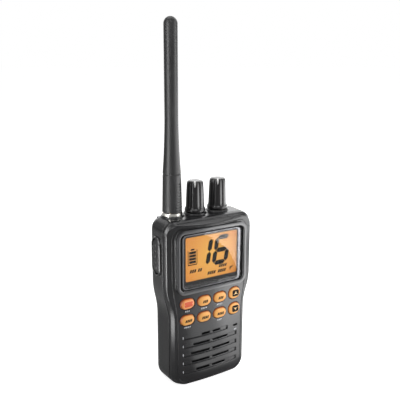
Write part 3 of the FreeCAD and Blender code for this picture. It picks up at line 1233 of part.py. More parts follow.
def radio_contacts():
    """Contact block in the pocket floor with four pins against the pack's pads."""
    half = PAD_COUNT * PAD_PITCH / 2
    tall = PAD_HEIGHT / 2
    block = box(-half, half, INNER_BACK_Y, POCKET_FLOOR_Y, PAD_Z - tall, PAD_Z + tall)
    flange = box(-half - WALL, half + WALL, INNER_BACK_Y - CONTACT_BLOCK_DEPTH / 2, INNER_BACK_Y,
                 PAD_Z - tall - WALL, PAD_Z + tall + WALL)
    pins = [block_y(CONTACT_WIDTH, CONTACT_WIDTH, x, PAD_Z, POCKET_FLOOR_Y, PACK_FRONT_Y - CONTACT_GAP)
            for x in pad_places()]
    return fuse([block, flange] + pins)


def clip_bracket():
    """Plate with two ears that carries the clip's pin."""
    inner = CLIP_WIDTH / 2 + EAR_GAP
    outer = inner + EAR_WIDTH
    low, high = CLIP_Z - BRACKET_BELOW, CLIP_Z + BRACKET_ABOVE
    plate = block_y(2 * outer, high - low, 0, (low + high) / 2, PACK_BACK, PACK_BACK + BRACKET_THICKNESS)
    rim = edges_at(plate, lambda p: p.y > PACK_BACK + BRACKET_THICKNESS - MATCH)
    plate = plate.makeChamfer(BRACKET_BEVEL, rim)
    solids = [plate]
    for side in (-1, 1):
        x_low, x_high = min(side * inner, side * outer), max(side * inner, side * outer)
        ear_back = CLIP_PIN_Y + BARREL_RADIUS
        ear = box(x_low, x_high, PACK_BACK + BRACKET_THICKNESS / 2, ear_back,
                  CLIP_Z - BARREL_RADIUS, CLIP_Z + BARREL_RADIUS)
        rim = edges_at(ear, lambda p: p.y > ear_back - MATCH)
        corners = [e for e in rim if e.BoundBox.XLength > EAR_WIDTH / 2]
        solids.append(ear.makeChamfer(EAR_BEVEL, corners))
    return fuse(solids).cut(fuse([clip_pin()] + clip_screw_shapes()))


def clip_pin():
    reach = CLIP_WIDTH / 2 + EAR_GAP + EAR_WIDTH
    return bar_x(CLIP_PIN_RADIUS, -reach, reach, CLIP_PIN_Y, CLIP_Z)


def belt_clip():
    """Bowed spring-loaded clip: barrel, tongue with a bead at its tip, and a thumb lever."""
    def point(y, z):
        return V(-CLIP_WIDTH / 2, y, z)

    tip_z = CLIP_Z - CLIP_LENGTH
    inner_y = CLIP_PIN_Y + CLIP_OFFSET
    tip_y = PACK_BACK + PACK_GAP + CLIP_BEAD
    middle_z = (CLIP_Z + tip_z) / 2
    bow_y = (inner_y + tip_y) / 2 + CLIP_BOW
    lever_z = CLIP_Z + CLIP_LEVER
    lever_y = inner_y + CLIP_BOW
    outer_y = inner_y + CLIP_THICKNESS
    edges = [
        Part.Arc(point(inner_y, CLIP_Z), point(bow_y, middle_z), point(tip_y, tip_z)).toShape(),
        Part.makeLine(point(tip_y, tip_z), point(tip_y + CLIP_THICKNESS, tip_z)),
        Part.Arc(point(tip_y + CLIP_THICKNESS, tip_z), point(bow_y + CLIP_THICKNESS, middle_z),
                 point(outer_y, CLIP_Z)).toShape(),
        Part.makeLine(point(outer_y, CLIP_Z), point(lever_y + CLIP_THICKNESS, lever_z)),
        Part.makeLine(point(lever_y + CLIP_THICKNESS, lever_z), point(lever_y, lever_z)),
        Part.makeLine(point(lever_y, lever_z), point(inner_y, CLIP_Z)),
    ]
    tongue = Part.Face(Part.Wire(edges)).extrude(V(CLIP_WIDTH, 0, 0))
    half = CLIP_WIDTH / 2
    barrel = bar_x(BARREL_RADIUS, -half, half, CLIP_PIN_Y, CLIP_Z)
    bead = bar_x(CLIP_BEAD, -half, half, tip_y, tip_z)
    bore = bar_x(CLIP_PIN_RADIUS + RUNNING_GAP, -half, half, CLIP_PIN_Y, CLIP_Z)
    window = bar_x(BARREL_RADIUS, -COIL_LENGTH / 2 - EAR_GAP, COIL_LENGTH / 2 + EAR_GAP, CLIP_PIN_Y, CLIP_Z)
    return fuse([tongue, barrel, bead]).cut(fuse([bore, window]))


def clip_spring():
    """Torsion coil on the clip's pin."""
    radius = CLIP_PIN_RADIUS + 2 * RUNNING_GAP + COIL_WIRE / 2
    return coil(radius, COIL_WIRE, COIL_TURNS, COIL_LENGTH, V(-COIL_LENGTH / 2, CLIP_PIN_Y, CLIP_Z), X_AXIS)


def clip_screw_shapes():
    """Two screws through the bracket into the pack's back wall."""
    screws = []
    head_y = PACK_BACK + BRACKET_THICKNESS
    z = CLIP_Z - BRACKET_BELOW + 2 * SCREW_HEAD_RADIUS
    for side in (-1, 1):
        x = side * CLIP_WIDTH / 3
        neck_y = head_y - SCREW_HEAD_HEIGHT
        shank = prism_y(6, SCREW_RADIUS, PACK_BACK - PACK_WALL + CELL_GAP, neck_y, x, z)
        screws.append(shank.fuse(bar_y(SCREW_HEAD_RADIUS, neck_y, head_y, x, z)))
    return screws


def clip_screws():
    return Part.makeCompound(clip_screw_shapes())


def case_screws():
    """Four screws from the back into the front moulding, their lobed shanks drawn with six sides."""
    screws = []
    for x, z, seat in case_screw_places():
        shank = prism_y(6, SCREW_RADIUS, face_y(x) + 2 * WALL, seat - SCREW_HEAD_HEIGHT, x, z)
        screws.append(shank.fuse(bar_y(SCREW_HEAD_RADIUS, seat - SCREW_HEAD_HEIGHT, seat, x, z)))
    return Part.makeCompound(screws)


def pieces():
    """Every node of the radio by name."""
    shapes = {
        "front_case": front_case(),
        "rear_case": rear_case(),
        "case_gasket": gasket_ring(),
        "display_bezel": display_bezel(),
        "display_lens": display_lens(),
        "display_glass": display_glass(),
        "display_backlight": display_backlight(),
        "display_frame": display_frame(),
        "main_board": main_board(),
        "shield_cans": shield_cans(),
        "key_domes": key_domes(),
        "keypad_web": keypad_web(),
        "speaker_mesh": speaker_mesh(),
        "speaker_frame": speaker_frame(),
        "speaker_cone": speaker_cone(),
        "speaker_magnet": speaker_magnet(),
        "microphone": microphone(),
        "volume_pot": potentiometer(VOLUME_X),
        "squelch_pot": potentiometer(SQUELCH_X),
        "pot_nuts": pot_nuts(),
        "knob_seals": knob_seals(),
        "volume_shaft": knob_shaft(VOLUME_X),
        "squelch_shaft": knob_shaft(SQUELCH_X),
        "volume_knob": knob(VOLUME_X),
        "squelch_knob": knob(SQUELCH_X),
        "volume_pointer": knob_pointer(VOLUME_X),
        "squelch_pointer": knob_pointer(SQUELCH_X),
        "antenna_jack": antenna_jack(),
        "antenna_pin": antenna_pin(),
        "antenna_plug": antenna_plug(),
        "antenna_core": antenna_core(),
        "antenna_sheath": antenna_sheath(),
        "ptt_bezel": ptt_bezel(),
        "ptt_button": ptt_button(),
        "ptt_switch": ptt_switch(),
        "accessory_jack": accessory_jack(),
        "jack_cover": jack_cover(),
        "battery_latch": battery_latch(),
        "latch_spring": latch_spring(),
        "battery_case": battery_case(),
        "battery_lid": battery_lid(),
        "battery_cells": battery_cells(),
        "pack_contacts": pack_contacts(),
        "radio_contacts": radio_contacts(),
        "clip_bracket": clip_bracket(),
        "clip_pin": clip_pin(),
        "belt_clip": belt_clip(),
        "clip_spring": clip_spring(),
        "clip_screws": clip_screws(),
        "case_screws": case_screws(),
        "strap_lug": strap_lug(),
    }
    for name, x, z, width, height in key_places():
        shapes[name] = key(x, z, width, height)
    return shapes


os.makedirs("parts", exist_ok=True)
for node, shape in pieces().items():
    shape.exportStep("parts/" + node + ".step")
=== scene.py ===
from math import cos, pi, radians, sin, sqrt

import bmesh
import bpy
from mathutils import Matrix, Vector


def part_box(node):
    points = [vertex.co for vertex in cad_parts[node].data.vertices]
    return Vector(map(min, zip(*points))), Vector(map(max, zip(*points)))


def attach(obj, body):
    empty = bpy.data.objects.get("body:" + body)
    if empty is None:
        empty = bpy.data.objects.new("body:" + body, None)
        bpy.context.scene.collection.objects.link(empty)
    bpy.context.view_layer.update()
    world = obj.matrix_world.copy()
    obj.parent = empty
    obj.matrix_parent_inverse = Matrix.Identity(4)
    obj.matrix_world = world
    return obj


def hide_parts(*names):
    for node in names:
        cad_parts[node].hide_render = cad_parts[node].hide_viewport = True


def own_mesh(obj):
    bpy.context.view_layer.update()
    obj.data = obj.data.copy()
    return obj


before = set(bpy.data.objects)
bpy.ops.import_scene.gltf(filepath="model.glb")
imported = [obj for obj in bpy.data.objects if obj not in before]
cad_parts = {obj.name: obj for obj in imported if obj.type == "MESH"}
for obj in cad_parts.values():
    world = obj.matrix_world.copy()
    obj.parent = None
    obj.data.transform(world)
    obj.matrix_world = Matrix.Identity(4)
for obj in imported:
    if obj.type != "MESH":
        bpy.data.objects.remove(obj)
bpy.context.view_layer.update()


# ------------------------ Housing
# Two halves of glass-filled black polycarbonate, injection moulded in a spark-eroded tool that leaves a fine
# grain, and screwed together over a thin silicone cord. Handling has rubbed their edges a little paler.

def tone(red, green, blue):
    """A colour of 0-255 values as the linear values that shaders take."""
    def linear(value):
        value = value / 255
        return value / 12.92 if value <= 0.04045 else ((value + 0.055) / 1.055) ** 2.4
    return linear(red), linear(green), linear(blue), 1.0


def blank(name):
    """A new material, its node tree and its shader."""
    made = bpy.data.materials.new(name)
    made.use_nodes = True
    return made, made.node_tree, made.node_tree.nodes["Principled BSDF"]


def add(tree, kind, sockets=None, **options):
    """Places a shader node. A socket takes a value, or another node's output to be joined to it."""
    made = tree.nodes.new(kind)
    for name, value in options.items():
        setattr(made, name, value)
    for name, value in (sockets or {}).items():
        if isinstance(value, bpy.types.NodeSocket):
            tree.links.new(value, made.inputs[name])
        else:
            made.inputs[name].default_value = value
    return made


def reckon(tree, operation, first, second=0.0, clamp=False):
    """The output of one Math node."""
    return add(tree, "ShaderNodeMath", {0: first, 1: second}, operation=operation, use_clamp=clamp).outputs[0]


def ramp(tree, value, start, gain, clamp=True):
    """How far a value is past its start, times a gain."""
    return reckon(tree, "MULTIPLY", reckon(tree, "SUBTRACT", value, start), gain, clamp)


def position(tree):
    """The shaded point, in the object's own frame."""
    return add(tree, "ShaderNodeTexCoord").outputs["Object"]


def noise(tree, place, scale, detail):
    """The output of one Noise node."""
    return add(tree, "ShaderNodeTexNoise", {"Vector": place, "Scale": scale, "Detail": detail}).outputs[0]


def emboss(tree, shader, distance, height):
    """Gives a shader its relief."""
    relief = add(tree, "ShaderNodeBump", {"Distance": distance, "Height": height})
    tree.links.new(relief.outputs[0], shader.inputs["Normal"])
    return relief


def between(tree, share, first, second):
    """The colour that lies a share of the way from the first to the second."""
    return add(tree, "ShaderNodeMix", {0: share, 6: first, 7: second}, data_type="RGBA").outputs[2]


def effect(name, takes, gives):
    """An empty group for a shared effect; returns it with its input and output nodes."""
    group = bpy.data.node_groups.new(name, "ShaderNodeTree")
    for label, value in takes.items():
        kind = "NodeSocketColor" if isinstance(value, tuple) else "NodeSocketFloat"
        group.interface.new_socket(label, in_out="INPUT", socket_type=kind).default_value = value
    for label in gives:
        kind = "NodeSocketColor" if label == "Colour" else "NodeSocketFloat"
        group.interface.new_socket(label, in_out="OUTPUT", socket_type=kind)
    return group, group.nodes.new("NodeGroupInput").outputs, group.nodes.new("NodeGroupOutput")


# Spark-eroded grain with the slight clouding that a big moulding has, which shows more in colour than in gloss.
COLOUR_SWING = 4.0
moulded_grain, takes, gives = effect(
    "moulded_grain", {"Colour": (0.5, 0.5, 0.5, 1.0), "Mottle": 0.1, "Roughness": 0.4, "Grain": 4000.0},
    ("Colour", "Roughness", "Height"))
place = position(moulded_grain)
grain = noise(moulded_grain, place, takes["Grain"], 2.0)
swing = ramp(moulded_grain, noise(moulded_grain, place, 70.0, 4.0), 0.5, takes["Mottle"], clamp=False)
tinted = add(moulded_grain, "ShaderNodeHueSaturation",
             {"Value": reckon(moulded_grain, "ADD", 1.0, reckon(moulded_grain, "MULTIPLY", swing, COLOUR_SWING)),
              "Color": takes["Colour"]})
moulded_grain.links.new(tinted.outputs[0], gives.inputs["Colour"])
moulded_grain.links.new(reckon(moulded_grain, "ADD", takes["Roughness"], swing), gives.inputs["Roughness"])
moulded_grain.links.new(grain, gives.inputs["Height"])

# Edges that hands and cloth have rubbed, broken up so that no edge is worn all along.
EDGE_GAIN, BARE_FROM, BARE_GAIN = 6.0, 0.35, 3.0
rubbed_edges, takes, gives = effect("rubbed_edges", {"Width": 0.0004, "Amount": 0.5}, ("Mask",))
rounded = add(rubbed_edges, "ShaderNodeBevel", {"Radius": takes["Width"]}, samples=4).outputs[0]
face = add(rubbed_edges, "ShaderNodeNewGeometry").outputs["Normal"]
match = add(rubbed_edges, "ShaderNodeVectorMath", {0: rounded, 1: face}, operation="DOT_PRODUCT").outputs["Value"]
edge = ramp(rubbed_edges, 1.0, match, EDGE_GAIN)
patchy = ramp(rubbed_edges, noise(rubbed_edges, position(rubbed_edges), 260.0, 5.0), BARE_FROM, BARE_GAIN)
worn = reckon(rubbed_edges, "MULTIPLY", reckon(rubbed_edges, "MULTIPLY", edge, patchy), takes["Amount"])
rubbed_edges.links.new(worn, gives.inputs["Mask"])

# How much paler a rubbed edge is than its plastic.
WORN_GAIN, WORN_LIFT = 3, 0.03


def moulded(name, colour, roughness, mottle=0.1, grain=4000.0, depth=0.00002, worn=0.0, specular=0.5, coat=0.0,
            soft=0.0):
    """Moulded plastic or rubber with its grain. Its edges are rubbed paler where worn is above zero, and soft is
    how far the light rolls round them."""
    made, tree, shader = blank(name)
    surface = add(tree, "ShaderNodeGroup", {"Colour": colour, "Mottle": mottle, "Roughness": roughness,
                                            "Grain": grain}, node_tree=moulded_grain).outputs
    shown = surface["Colour"]
    if worn:
        mask = add(tree, "ShaderNodeGroup", {"Amount": worn}, node_tree=rubbed_edges).outputs["Mask"]
        paler = tuple(min(1.0, c * WORN_GAIN + WORN_LIFT) for c in colour[:3]) + (1.0,)
        shown = between(tree, mask, shown, paler)
    tree.links.new(shown, shader.inputs["Base Color"])
    tree.links.new(surface["Roughness"], shader.inputs["Roughness"])
    relief = emboss(tree, shader, depth, surface["Height"])
    if soft:
        rolled = add(tree, "ShaderNodeBevel", {"Radius": soft}, samples=6)
        tree.links.new(rolled.outputs[0], relief.inputs["Normal"])
    shader.inputs["Specular IOR Level"].default_value = specular
    shader.inputs["Coat Weight"].default_value = coat
    return made


def dress(material, *nodes):
    """Gives CAD nodes their finish."""
    for node in nodes:
        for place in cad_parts[node].material_slots:
            place.material = material


housing_plastic = moulded("housing_plastic", tone(27, 27, 29), 0.25, mottle=0.05, depth=0.00001, worn=0.25,
                          soft=0.0008)
dress(housing_plastic, "front_case", "rear_case")
dress(moulded("gasket_silicone", tone(88, 90, 92), 0.6, grain=2500.0), "case_gasket")


def put(name, data):
    """A new object in the scene."""
    made = bpy.data.objects.new(name, data)
    bpy.context.scene.collection.objects.link(made)
    return made


def mesh_piece(name, points, faces, material, body, smooth=False):
    """A piece from its points in millimetres; it rides on a body and has the finish of a slot."""
    mesh = bpy.data.meshes.new(name)
    mesh.from_pydata([Vector(p) / 1000 for p in points], [], faces)
    tidy = bmesh.new()
    tidy.from_mesh(mesh)
    bmesh.ops.recalc_face_normals(tidy, faces=tidy.faces)
    tidy.to_mesh(mesh)
    tidy.free()
    mesh.materials.append(material)
    for polygon in mesh.polygons:
        polygon.use_smooth = smooth
    piece = put(name, mesh)
    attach(piece, body)
    return piece


def band(first, second, count):
    """The faces between two rings of points."""
    return [(first + i, first + (i + 1) % count, second + (i + 1) % count, second + i) for i in range(count)]


def stack(name, outlines, material, body, tube=False, smooth=True):
    """Skins a row of outlines that have equally many points. A tube's last outline joins its first, and otherwise
    the two ends are closed."""
    count = len(outlines[0])
    faces = []
    for level in range(len(outlines) if tube else len(outlines) - 1):
        faces += band(level * count, (level + 1) % len(outlines) * count, count)
    if not tube:
        faces += [tuple(range(count)), tuple(range((len(outlines) - 1) * count, len(outlines) * count))]
    return mesh_piece(name, [point for outline in outlines for point in outline], faces, material, body, smooth)


# A skin over the right shoulder, where the band beside the display turns into the waist. Its outline starts on the
# curved front beside the trim and turns round the edge, and the arc of the waist moves it inward.
FACE_RADIUS, FACE_FRONT = 150.0, 18.0
WAIST_TOP, WAIST_ARC = 68.0, 40.0
TRIM_EDGE = 24.45
SHOULDER = [(28.83, -15.2), (29.0, -15.15), (29.11, -15.09), (29.2, -15.02), (29.28, -14.94), (29.35, -14.84),
            (29.4, -14.74), (29.7, -14.07), (30.0, -13.4), (30.4, -11.4)]
SKIN, SKIN_INSIDE, SKIN_DEEP = 0.03, 0.5, 0.3
SKIN_FOOT, SKIN_BEND, FINE_STEP, COARSE_STEP = 58.6, 69.1, 0.5, 4.0


def face_depth(x):
    """Depth of the curved front at x."""
    return FACE_RADIUS - FACE_FRONT - sqrt(FACE_RADIUS ** 2 - x ** 2)


def waist(reach):
    """How far the arc of the waist has gone inward at a reach from its start."""
    return WAIST_ARC - sqrt(WAIST_ARC ** 2 - reach ** 2)


outlines = []
for z in [SKIN_FOOT + i * FINE_STEP for i in range(22)] + [SKIN_BEND + i * COARSE_STEP for i in range(1, 8)]:
    inward = waist(max(WAIST_TOP - z, 0.0))
    ring = []
    for share in (0.0, 0.25, 0.5, 0.75):
        x = TRIM_EDGE + (SHOULDER[0][0] - inward - TRIM_EDGE) * share
        ring.append((x, face_depth(x) - SKIN))
    ring += [(x - inward + SKIN, y - SKIN) for x, y in SHOULDER]
    ring += [(x - SKIN_INSIDE, y + SKIN_DEEP) for x, y in reversed(ring)]
    outlines.append([(x, y, z) for x, y in ring])
stack("shoulder_skin", outlines, housing_plastic, "chassis", smooth=False)

# A thin rib on the edge of the front half covers the seam on both sides and follows the wall into the waist.
WALL, WAIST_BOTTOM, WAIST_MIDDLE, SEAM_Y = 30.36, 44.0, 56.0, -11.55
RIB_FOOT, RIB_STEP, RIB_LEVELS, RIB_SUNK = 5.5, 2.0, 47, 0.4
RIB_SECTION = [(-0.3, -0.4), (0.0, -0.3), (0.1, -0.16), (0.13, 0.0), (0.1, 0.16), (0.0, 0.3), (-0.3, 0.4)]
for side_name, sign in (("left", -1), ("right", 1)):
    outlines = []
    for level in range(RIB_LEVELS):
        z = RIB_FOOT + RIB_STEP * level
        if z > WAIST_MIDDLE:
            wall = WALL - waist(max(WAIST_TOP - z, 0.0))
        else:
            wall = WALL - (2 * waist(WAIST_MIDDLE - WAIST_BOTTOM) - waist(max(z - WAIST_BOTTOM, 0.0)))
        wall -= RIB_SUNK if level in (0, RIB_LEVELS - 1) else 0.0
        outlines.append([(sign * (wall + a), SEAM_Y + b, z) for a, b in RIB_SECTION])
    stack("seam_rib_" + side_name, outlines, housing_plastic, "chassis")

# A rounded brow along the slope between deck and front. RUN and FALL are the slope's direction.
BROW_Y, BROW_Z, RUN, FALL = -15.1, 105.02, 0.85, 0.52
BROW_START, BROW_STEP, BROW_LEVELS, BROW_SUNK = -23.5, 1.5, 31, 0.25
BROW_SECTION = [(-0.45, -0.06), (-0.3, 0.07), (-0.1, 0.14), (0.1, 0.14), (0.3, 0.07), (0.45, -0.06)]
outlines = []
for level in range(BROW_LEVELS):
    x = BROW_START + BROW_STEP * level
    sunk = BROW_SUNK if level in (0, BROW_LEVELS - 1) else 0.0
    outlines.append([(x, BROW_Y - RUN * a - FALL * (b - sunk), BROW_Z - FALL * a + RUN * (b - sunk))
                     for a, b in BROW_SECTION])
stack("front_brow", outlines, housing_plastic, "chassis")

# A fine bead runs round the panel, narrower below the waist. It is a line of points on the curved front.
BEAD_LOW, BEAD_HIGH, BEAD_CORNER = 2.3, 102.4, 6.5
BEAD_NARROW, BEAD_WIDE, WIDENS_FROM, WIDENS_OVER = 22.9, 26.2, 42.0, 30.0
CORNER_STEPS, SIDE_STEPS, END_STEPS = 8, 40, 12
BEAD_SECTION = [(-0.32, 0.1), (-0.24, -0.06), (-0.1, -0.15), (0.1, -0.15), (0.24, -0.06), (0.32, 0.1)]
side = []
for step in range(CORNER_STEPS):
    angle = pi / 2 * step / CORNER_STEPS
    side.append((BEAD_NARROW - BEAD_CORNER * (1 - sin(angle)), BEAD_LOW + BEAD_CORNER * (1 - cos(angle))))
for step in range(SIDE_STEPS):
    z = BEAD_LOW + BEAD_CORNER + (BEAD_HIGH - BEAD_LOW - 2 * BEAD_CORNER) * step / SIDE_STEPS
    rise = min(max((z - WIDENS_FROM) / WIDENS_OVER, 0.0), 1.0)
    side.append((BEAD_NARROW + (BEAD_WIDE - BEAD_NARROW) * rise ** 2 * (3 - 2 * rise), z))
for step in range(CORNER_STEPS + 1):
    angle = pi / 2 * step / CORNER_STEPS
    side.append((BEAD_WIDE - BEAD_CORNER * (1 - cos(angle)), BEAD_HIGH - BEAD_CORNER * (1 - sin(angle))))
upper = [((BEAD_WIDE - BEAD_CORNER) * (1 - 2 * i / END_STEPS), BEAD_HIGH) for i in range(1, END_STEPS)]
lower = [((BEAD_NARROW - BEAD_CORNER) * (2 * i / END_STEPS - 1), BEAD_LOW) for i in range(1, END_STEPS)]
route = side + upper + [(-x, z) for x, z in reversed(side)] + lower
outlines = []
for i, (x, z) in enumerate(route):
    before, after = route[i - 1], route[(i + 1) % len(route)]
    across = Vector((after[1] - before[1], before[0] - after[0])).normalized()
    outlines.append([(x + a * across.x, face_depth(x + a * across.x) + b, z + a * across.y)
                     for a, b in BEAD_SECTION])
stack("panel_bead", outlines, housing_plastic, "chassis", tube=True)


# ------------------------ Display
# A segment display of two glass sheets over a clear light guide, in a plastic tray. It is seen through an acrylic
# window that is printed black on its back, lies in a rubber gasket and has a thin metal lip on its front. A trim
# ring in graphite paint is glued round it.

DISPLAY_Z, WINDOW_Z = 81.51, 82.81
GLASS_FRONT, LENS_BACK, LENS_FRONT, LEDGE_FRONT = -16.75, -16.82, -18.2, -17.6
INK_THICKNESS, INK_PROUD = 0.01, 0.012


def loop(width, height, radius, x=0.0, z=0.0, steps=8):
    """Rounded rectangle seen from the front, as points in millimetres."""
    points = []
    for corner, (side, rise) in enumerate(((1, 1), (-1, 1), (-1, -1), (1, -1))):
        for step in range(steps + 1):
            angle = pi / 2 * (corner + step / steps)
            points.append((x + side * (width / 2 - radius) + radius * cos(angle),
                           z + rise * (height / 2 - radius) + radius * sin(angle)))
    return points


def print_on(name, outlines, depth, material, body, holes=(), thickness=INK_THICKNESS):
    """Thin patches that face the front, such as ink. depth(x, z) is where their skin lies, and they follow it."""
    points, faces = [], []
    for index, outline in enumerate(outlines):
        count = len(outline)
        middle = (sum(x for x, _ in outline) / count, sum(z for _, z in outline) / count)
        if holes:
            rings = [outline, holes[index]]
        else:
            rings = [[(m + (x - m) * share, n + (z - n) * share) for x, z in outline]
                     for share in (1.0, 0.66, 0.33) for m, n in (middle,)]
        front = len(points)
        for back in (0.0, thickness):
            for ring in rings:
                points += [(x, depth(x, z) + back, z) for x, z in ring]
            for level in range(len(rings) - 1):
                a = len(points) - (len(rings) - level) * count
                faces += band(a, a + count, count)
            if not holes:
                faces.append(tuple(range(len(points) - count, len(points))))
        for level in (0, len(rings) - 1) if holes else (0,):
            faces += band(front + level * count, front + (level + len(rings)) * count, count)
    return mesh_piece(name, points, faces, material, body)


dress(moulded("display_tray", tone(216, 214, 206), 0.5), "display_frame")
dress(moulded("light_guide", tone(236, 214, 176), 0.25, grain=900.0, depth=0.00004), "display_backlight")

# The lit glass: amber, brightest in its middle, with the faint haze of its polariser.
GLOW_CENTRE, GLOW_FALL, GLOW_HAZE = (0.0, -0.016, 0.083), 42.0, 0.5
lit_glass, tree, shader = blank("lit_glass")
place = position(tree)
off_centre = add(tree, "ShaderNodeVectorMath", {0: place, 1: GLOW_CENTRE}, operation="DISTANCE")
spread = reckon(tree, "MULTIPLY", off_centre.outputs["Value"], GLOW_FALL, clamp=True)
uneven = ramp(tree, noise(tree, place, 120.0, 3.0), 0.5, GLOW_HAZE, clamp=False)
spread = reckon(tree, "ADD", spread, uneven, clamp=True)
amber = between(tree, spread, tone(208, 154, 52), tone(194, 118, 28))
tree.links.new(amber, shader.inputs["Base Color"])
tree.links.new(amber, shader.inputs["Emission Color"])
shader.inputs["Emission Strength"].default_value = 0.27
shader.inputs["Roughness"].default_value = 0.35
dress(lit_glass, "display_glass")

# Segments and marks, in ink-thin patches on the glass. They lean as such characters do.
LEAN, CHARACTER_Z = 0.171, 85.6
BAR_UPRIGHT, BAR_ACROSS, BAR_WIDTH = 7.8, 7.9, 2.9
DIGIT_SIDE, DIGIT_QUARTER, DIGIT_HALF = 4.2, 3.95, 7.9
segment_black = moulded("segment_black", tone(12, 9, 7), 0.6, grain=6000.0, specular=0.1)


def segment(x, z, length, width, upright):
    """One bar with pointed ends, leaning with its character about the character's middle."""
    half, tip = length / 2, width / 2
    bar = [(-half, 0), (-half + tip, tip), (half - tip, tip), (half, 0), (half - tip, -tip), (-half + tip, -tip)]
    if upright:
        bar = [(b, a) for a, b in bar]
    return [(x + a + LEAN * (z + b - CHARACTER_Z), z + b) for a, b in bar]


def digit(x, lit):
    """A seven-bar figure: lit names its bars, a at the top, then clockwise to f, and g across the middle."""
    places = {"a": (0, DIGIT_HALF), "b": (DIGIT_SIDE, DIGIT_QUARTER), "c": (DIGIT_SIDE, -DIGIT_QUARTER),
              "d": (0, -DIGIT_HALF), "e": (-DIGIT_SIDE, -DIGIT_QUARTER), "f": (-DIGIT_SIDE, DIGIT_QUARTER),
              "g": (0, 0)}
    bars = []
    for aside, rise in (places[bar] for bar in lit):
        length = BAR_UPRIGHT if aside else BAR_ACROSS
        bars.append(segment(x + aside, CHARACTER_Z + rise, length, BAR_WIDTH, aside != 0))
    return bars


def leaning_bar(x, z, width, height):
    """A small leaning block."""
    return [(x + a * width / 2 + b * LEAN * height, z + b * height / 2)
            for a, b in ((-1, -1), (1, -1), (1, 1), (-1, 1))]


# The figure 16, a battery gauge of four bars in its frame, rows of blocks in place of words, and a small hook.
GAUGE_X, GAUGE_CORNER = -13.3, 0.2
BLOCK_PITCH, BLOCK_WIDTH = 1.45, 1.15
BLOCK_ROWS = [(-13.0, 75.2, 3, 2.0), (-8.2, 75.2, 2, 2.0), (8.0, 75.2, 4, 1.8), (0.0, 72.0, 4, 2.0),
              (7.4, 72.0, 4, 2.0)]
marks = digit(6.9, "afgedc") + digit(-5.9, "bc")
marks += [loop(4.6, 1.6, GAUGE_CORNER, GAUGE_X, z) for z in (86.9, 84.95, 83.0, 81.05)]
marks += [loop(2.6, 1.0, GAUGE_CORNER, GAUGE_X, 88.8), loop(6.2, 0.6, GAUGE_CORNER, GAUGE_X, 79.4)]
marks += [loop(0.45, 9.0, GAUGE_CORNER, x, 84.0) for x in (-16.3, -10.3)]
for x, z, count, height in BLOCK_ROWS:
    marks += [leaning_bar(x + BLOCK_PITCH * (i - (count - 1) / 2), z, BLOCK_WIDTH, height) for i in range(count)]
marks += [[(12.4, 72.9), (15.6, 73.9), (15.2, 72.9), (13.9, 72.5), (13.6, 71.2), (13.0, 71.4), (13.2, 72.6)]]
print_on("display_marks", marks, lambda x, z: GLASS_FRONT - INK_PROUD, segment_black, "chassis")

# The window's print, its gasket and its lip are frames: an outer loop and a hole.
MASK_THICKNESS = 0.015
GASKET_PROUD, GASKET_THICKNESS, LIP_PROUD, LIP_THICKNESS = 0.06, 0.04, 0.08, 0.07
window_black = moulded("window_black", tone(10, 10, 11), 0.35, grain=6000.0)
print_on("window_mask", [loop(40.2, 32.8, 2.5, 0, DISPLAY_Z)], lambda x, z: LENS_BACK, window_black, "chassis",
         [loop(36.0, 27.3, 1.0, 0, WINDOW_Z)], MASK_THICKNESS)
gasket_black = moulded("gasket_black", tone(14, 14, 15), 0.7, grain=3000.0, specular=0.15)
print_on("window_gasket", [loop(44.0, 35.0, 3.1, 0, DISPLAY_Z)], lambda x, z: LEDGE_FRONT - GASKET_PROUD,
         gasket_black, "chassis", [loop(41.0, 33.6, 2.9, 0, DISPLAY_Z)], GASKET_THICKNESS)
lip_metal = moulded("lip_metal", tone(98, 98, 101), 0.3, grain=6000.0, depth=0.000004)
lip_metal.node_tree.nodes["Principled BSDF"].inputs["Metallic"].default_value = 1.0
print_on("window_lip", [loop(40.2, 33.56, 2.7, -0.38, DISPLAY_Z)], lambda x, z: LENS_FRONT - LIP_PROUD,
         lip_metal, "chassis", [loop(38.1, 32.8, 2.2, -0.75, DISPLAY_Z - 0.05)], LIP_THICKNESS)

# Clear acrylic. Light for the display passes it unbent; its face has the fine haze that wiping leaves.
WIPED_ROUGHNESS = 0.02
clear_acrylic, tree, shader = blank("clear_acrylic")
shader.inputs["Transmission Weight"].default_value = 1.0
shader.inputs["IOR"].default_value = 1.3
wiped = noise(tree, position(tree), 900.0, 2.0)
tree.links.new(reckon(tree, "MULTIPLY", wiped, WIPED_ROUGHNESS), shader.inputs["Roughness"])
through = add(tree, "ShaderNodeBsdfTransparent")
shadow = add(tree, "ShaderNodeLightPath").outputs["Is Shadow Ray"]
seen = add(tree, "ShaderNodeMixShader", {0: shadow, 1: shader.outputs[0], 2: through.outputs[0]})
tree.links.new(seen.outputs[0], tree.nodes["Material Output"].inputs["Surface"])
dress(clear_acrylic, "display_lens")

# Graphite paint over plastic: fine flakes, and a thin clear coat. The ring's profile is given by its inset from the
# outline and its depth, from the back of its outside over the crest to the back of its inside.
RING_WIDTH, RING_HEIGHT, RING_CORNER, RING_Z = 48.8, 39.8, 5.5, 81.5
RING_PROFILE = [(0, -17.1), (0, -18.7), (0.03, -18.77), (0.1, -18.8), (1.7, -18.8), (1.9, -18.76), (2.1, -18.62),
                (2.25, -18.4), (2.37, -18.1), (2.4, -17.8), (2.4, -17.1)]
graphite_paint = moulded("graphite_paint", tone(44, 44, 47), 0.26, mottle=0.05, grain=7000.0, depth=0.000004,
                         worn=0.4, coat=0.4)
outlines = []
for inset, y in RING_PROFILE:
    ring = loop(RING_WIDTH - 2 * inset, RING_HEIGHT - 2 * inset, RING_CORNER - inset, 0, RING_Z, 10)
    outlines.append([(x, y, z) for x, z in ring])
trim = stack("trim_ring", outlines, graphite_paint, "chassis", tube=True)
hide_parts("display_bezel")


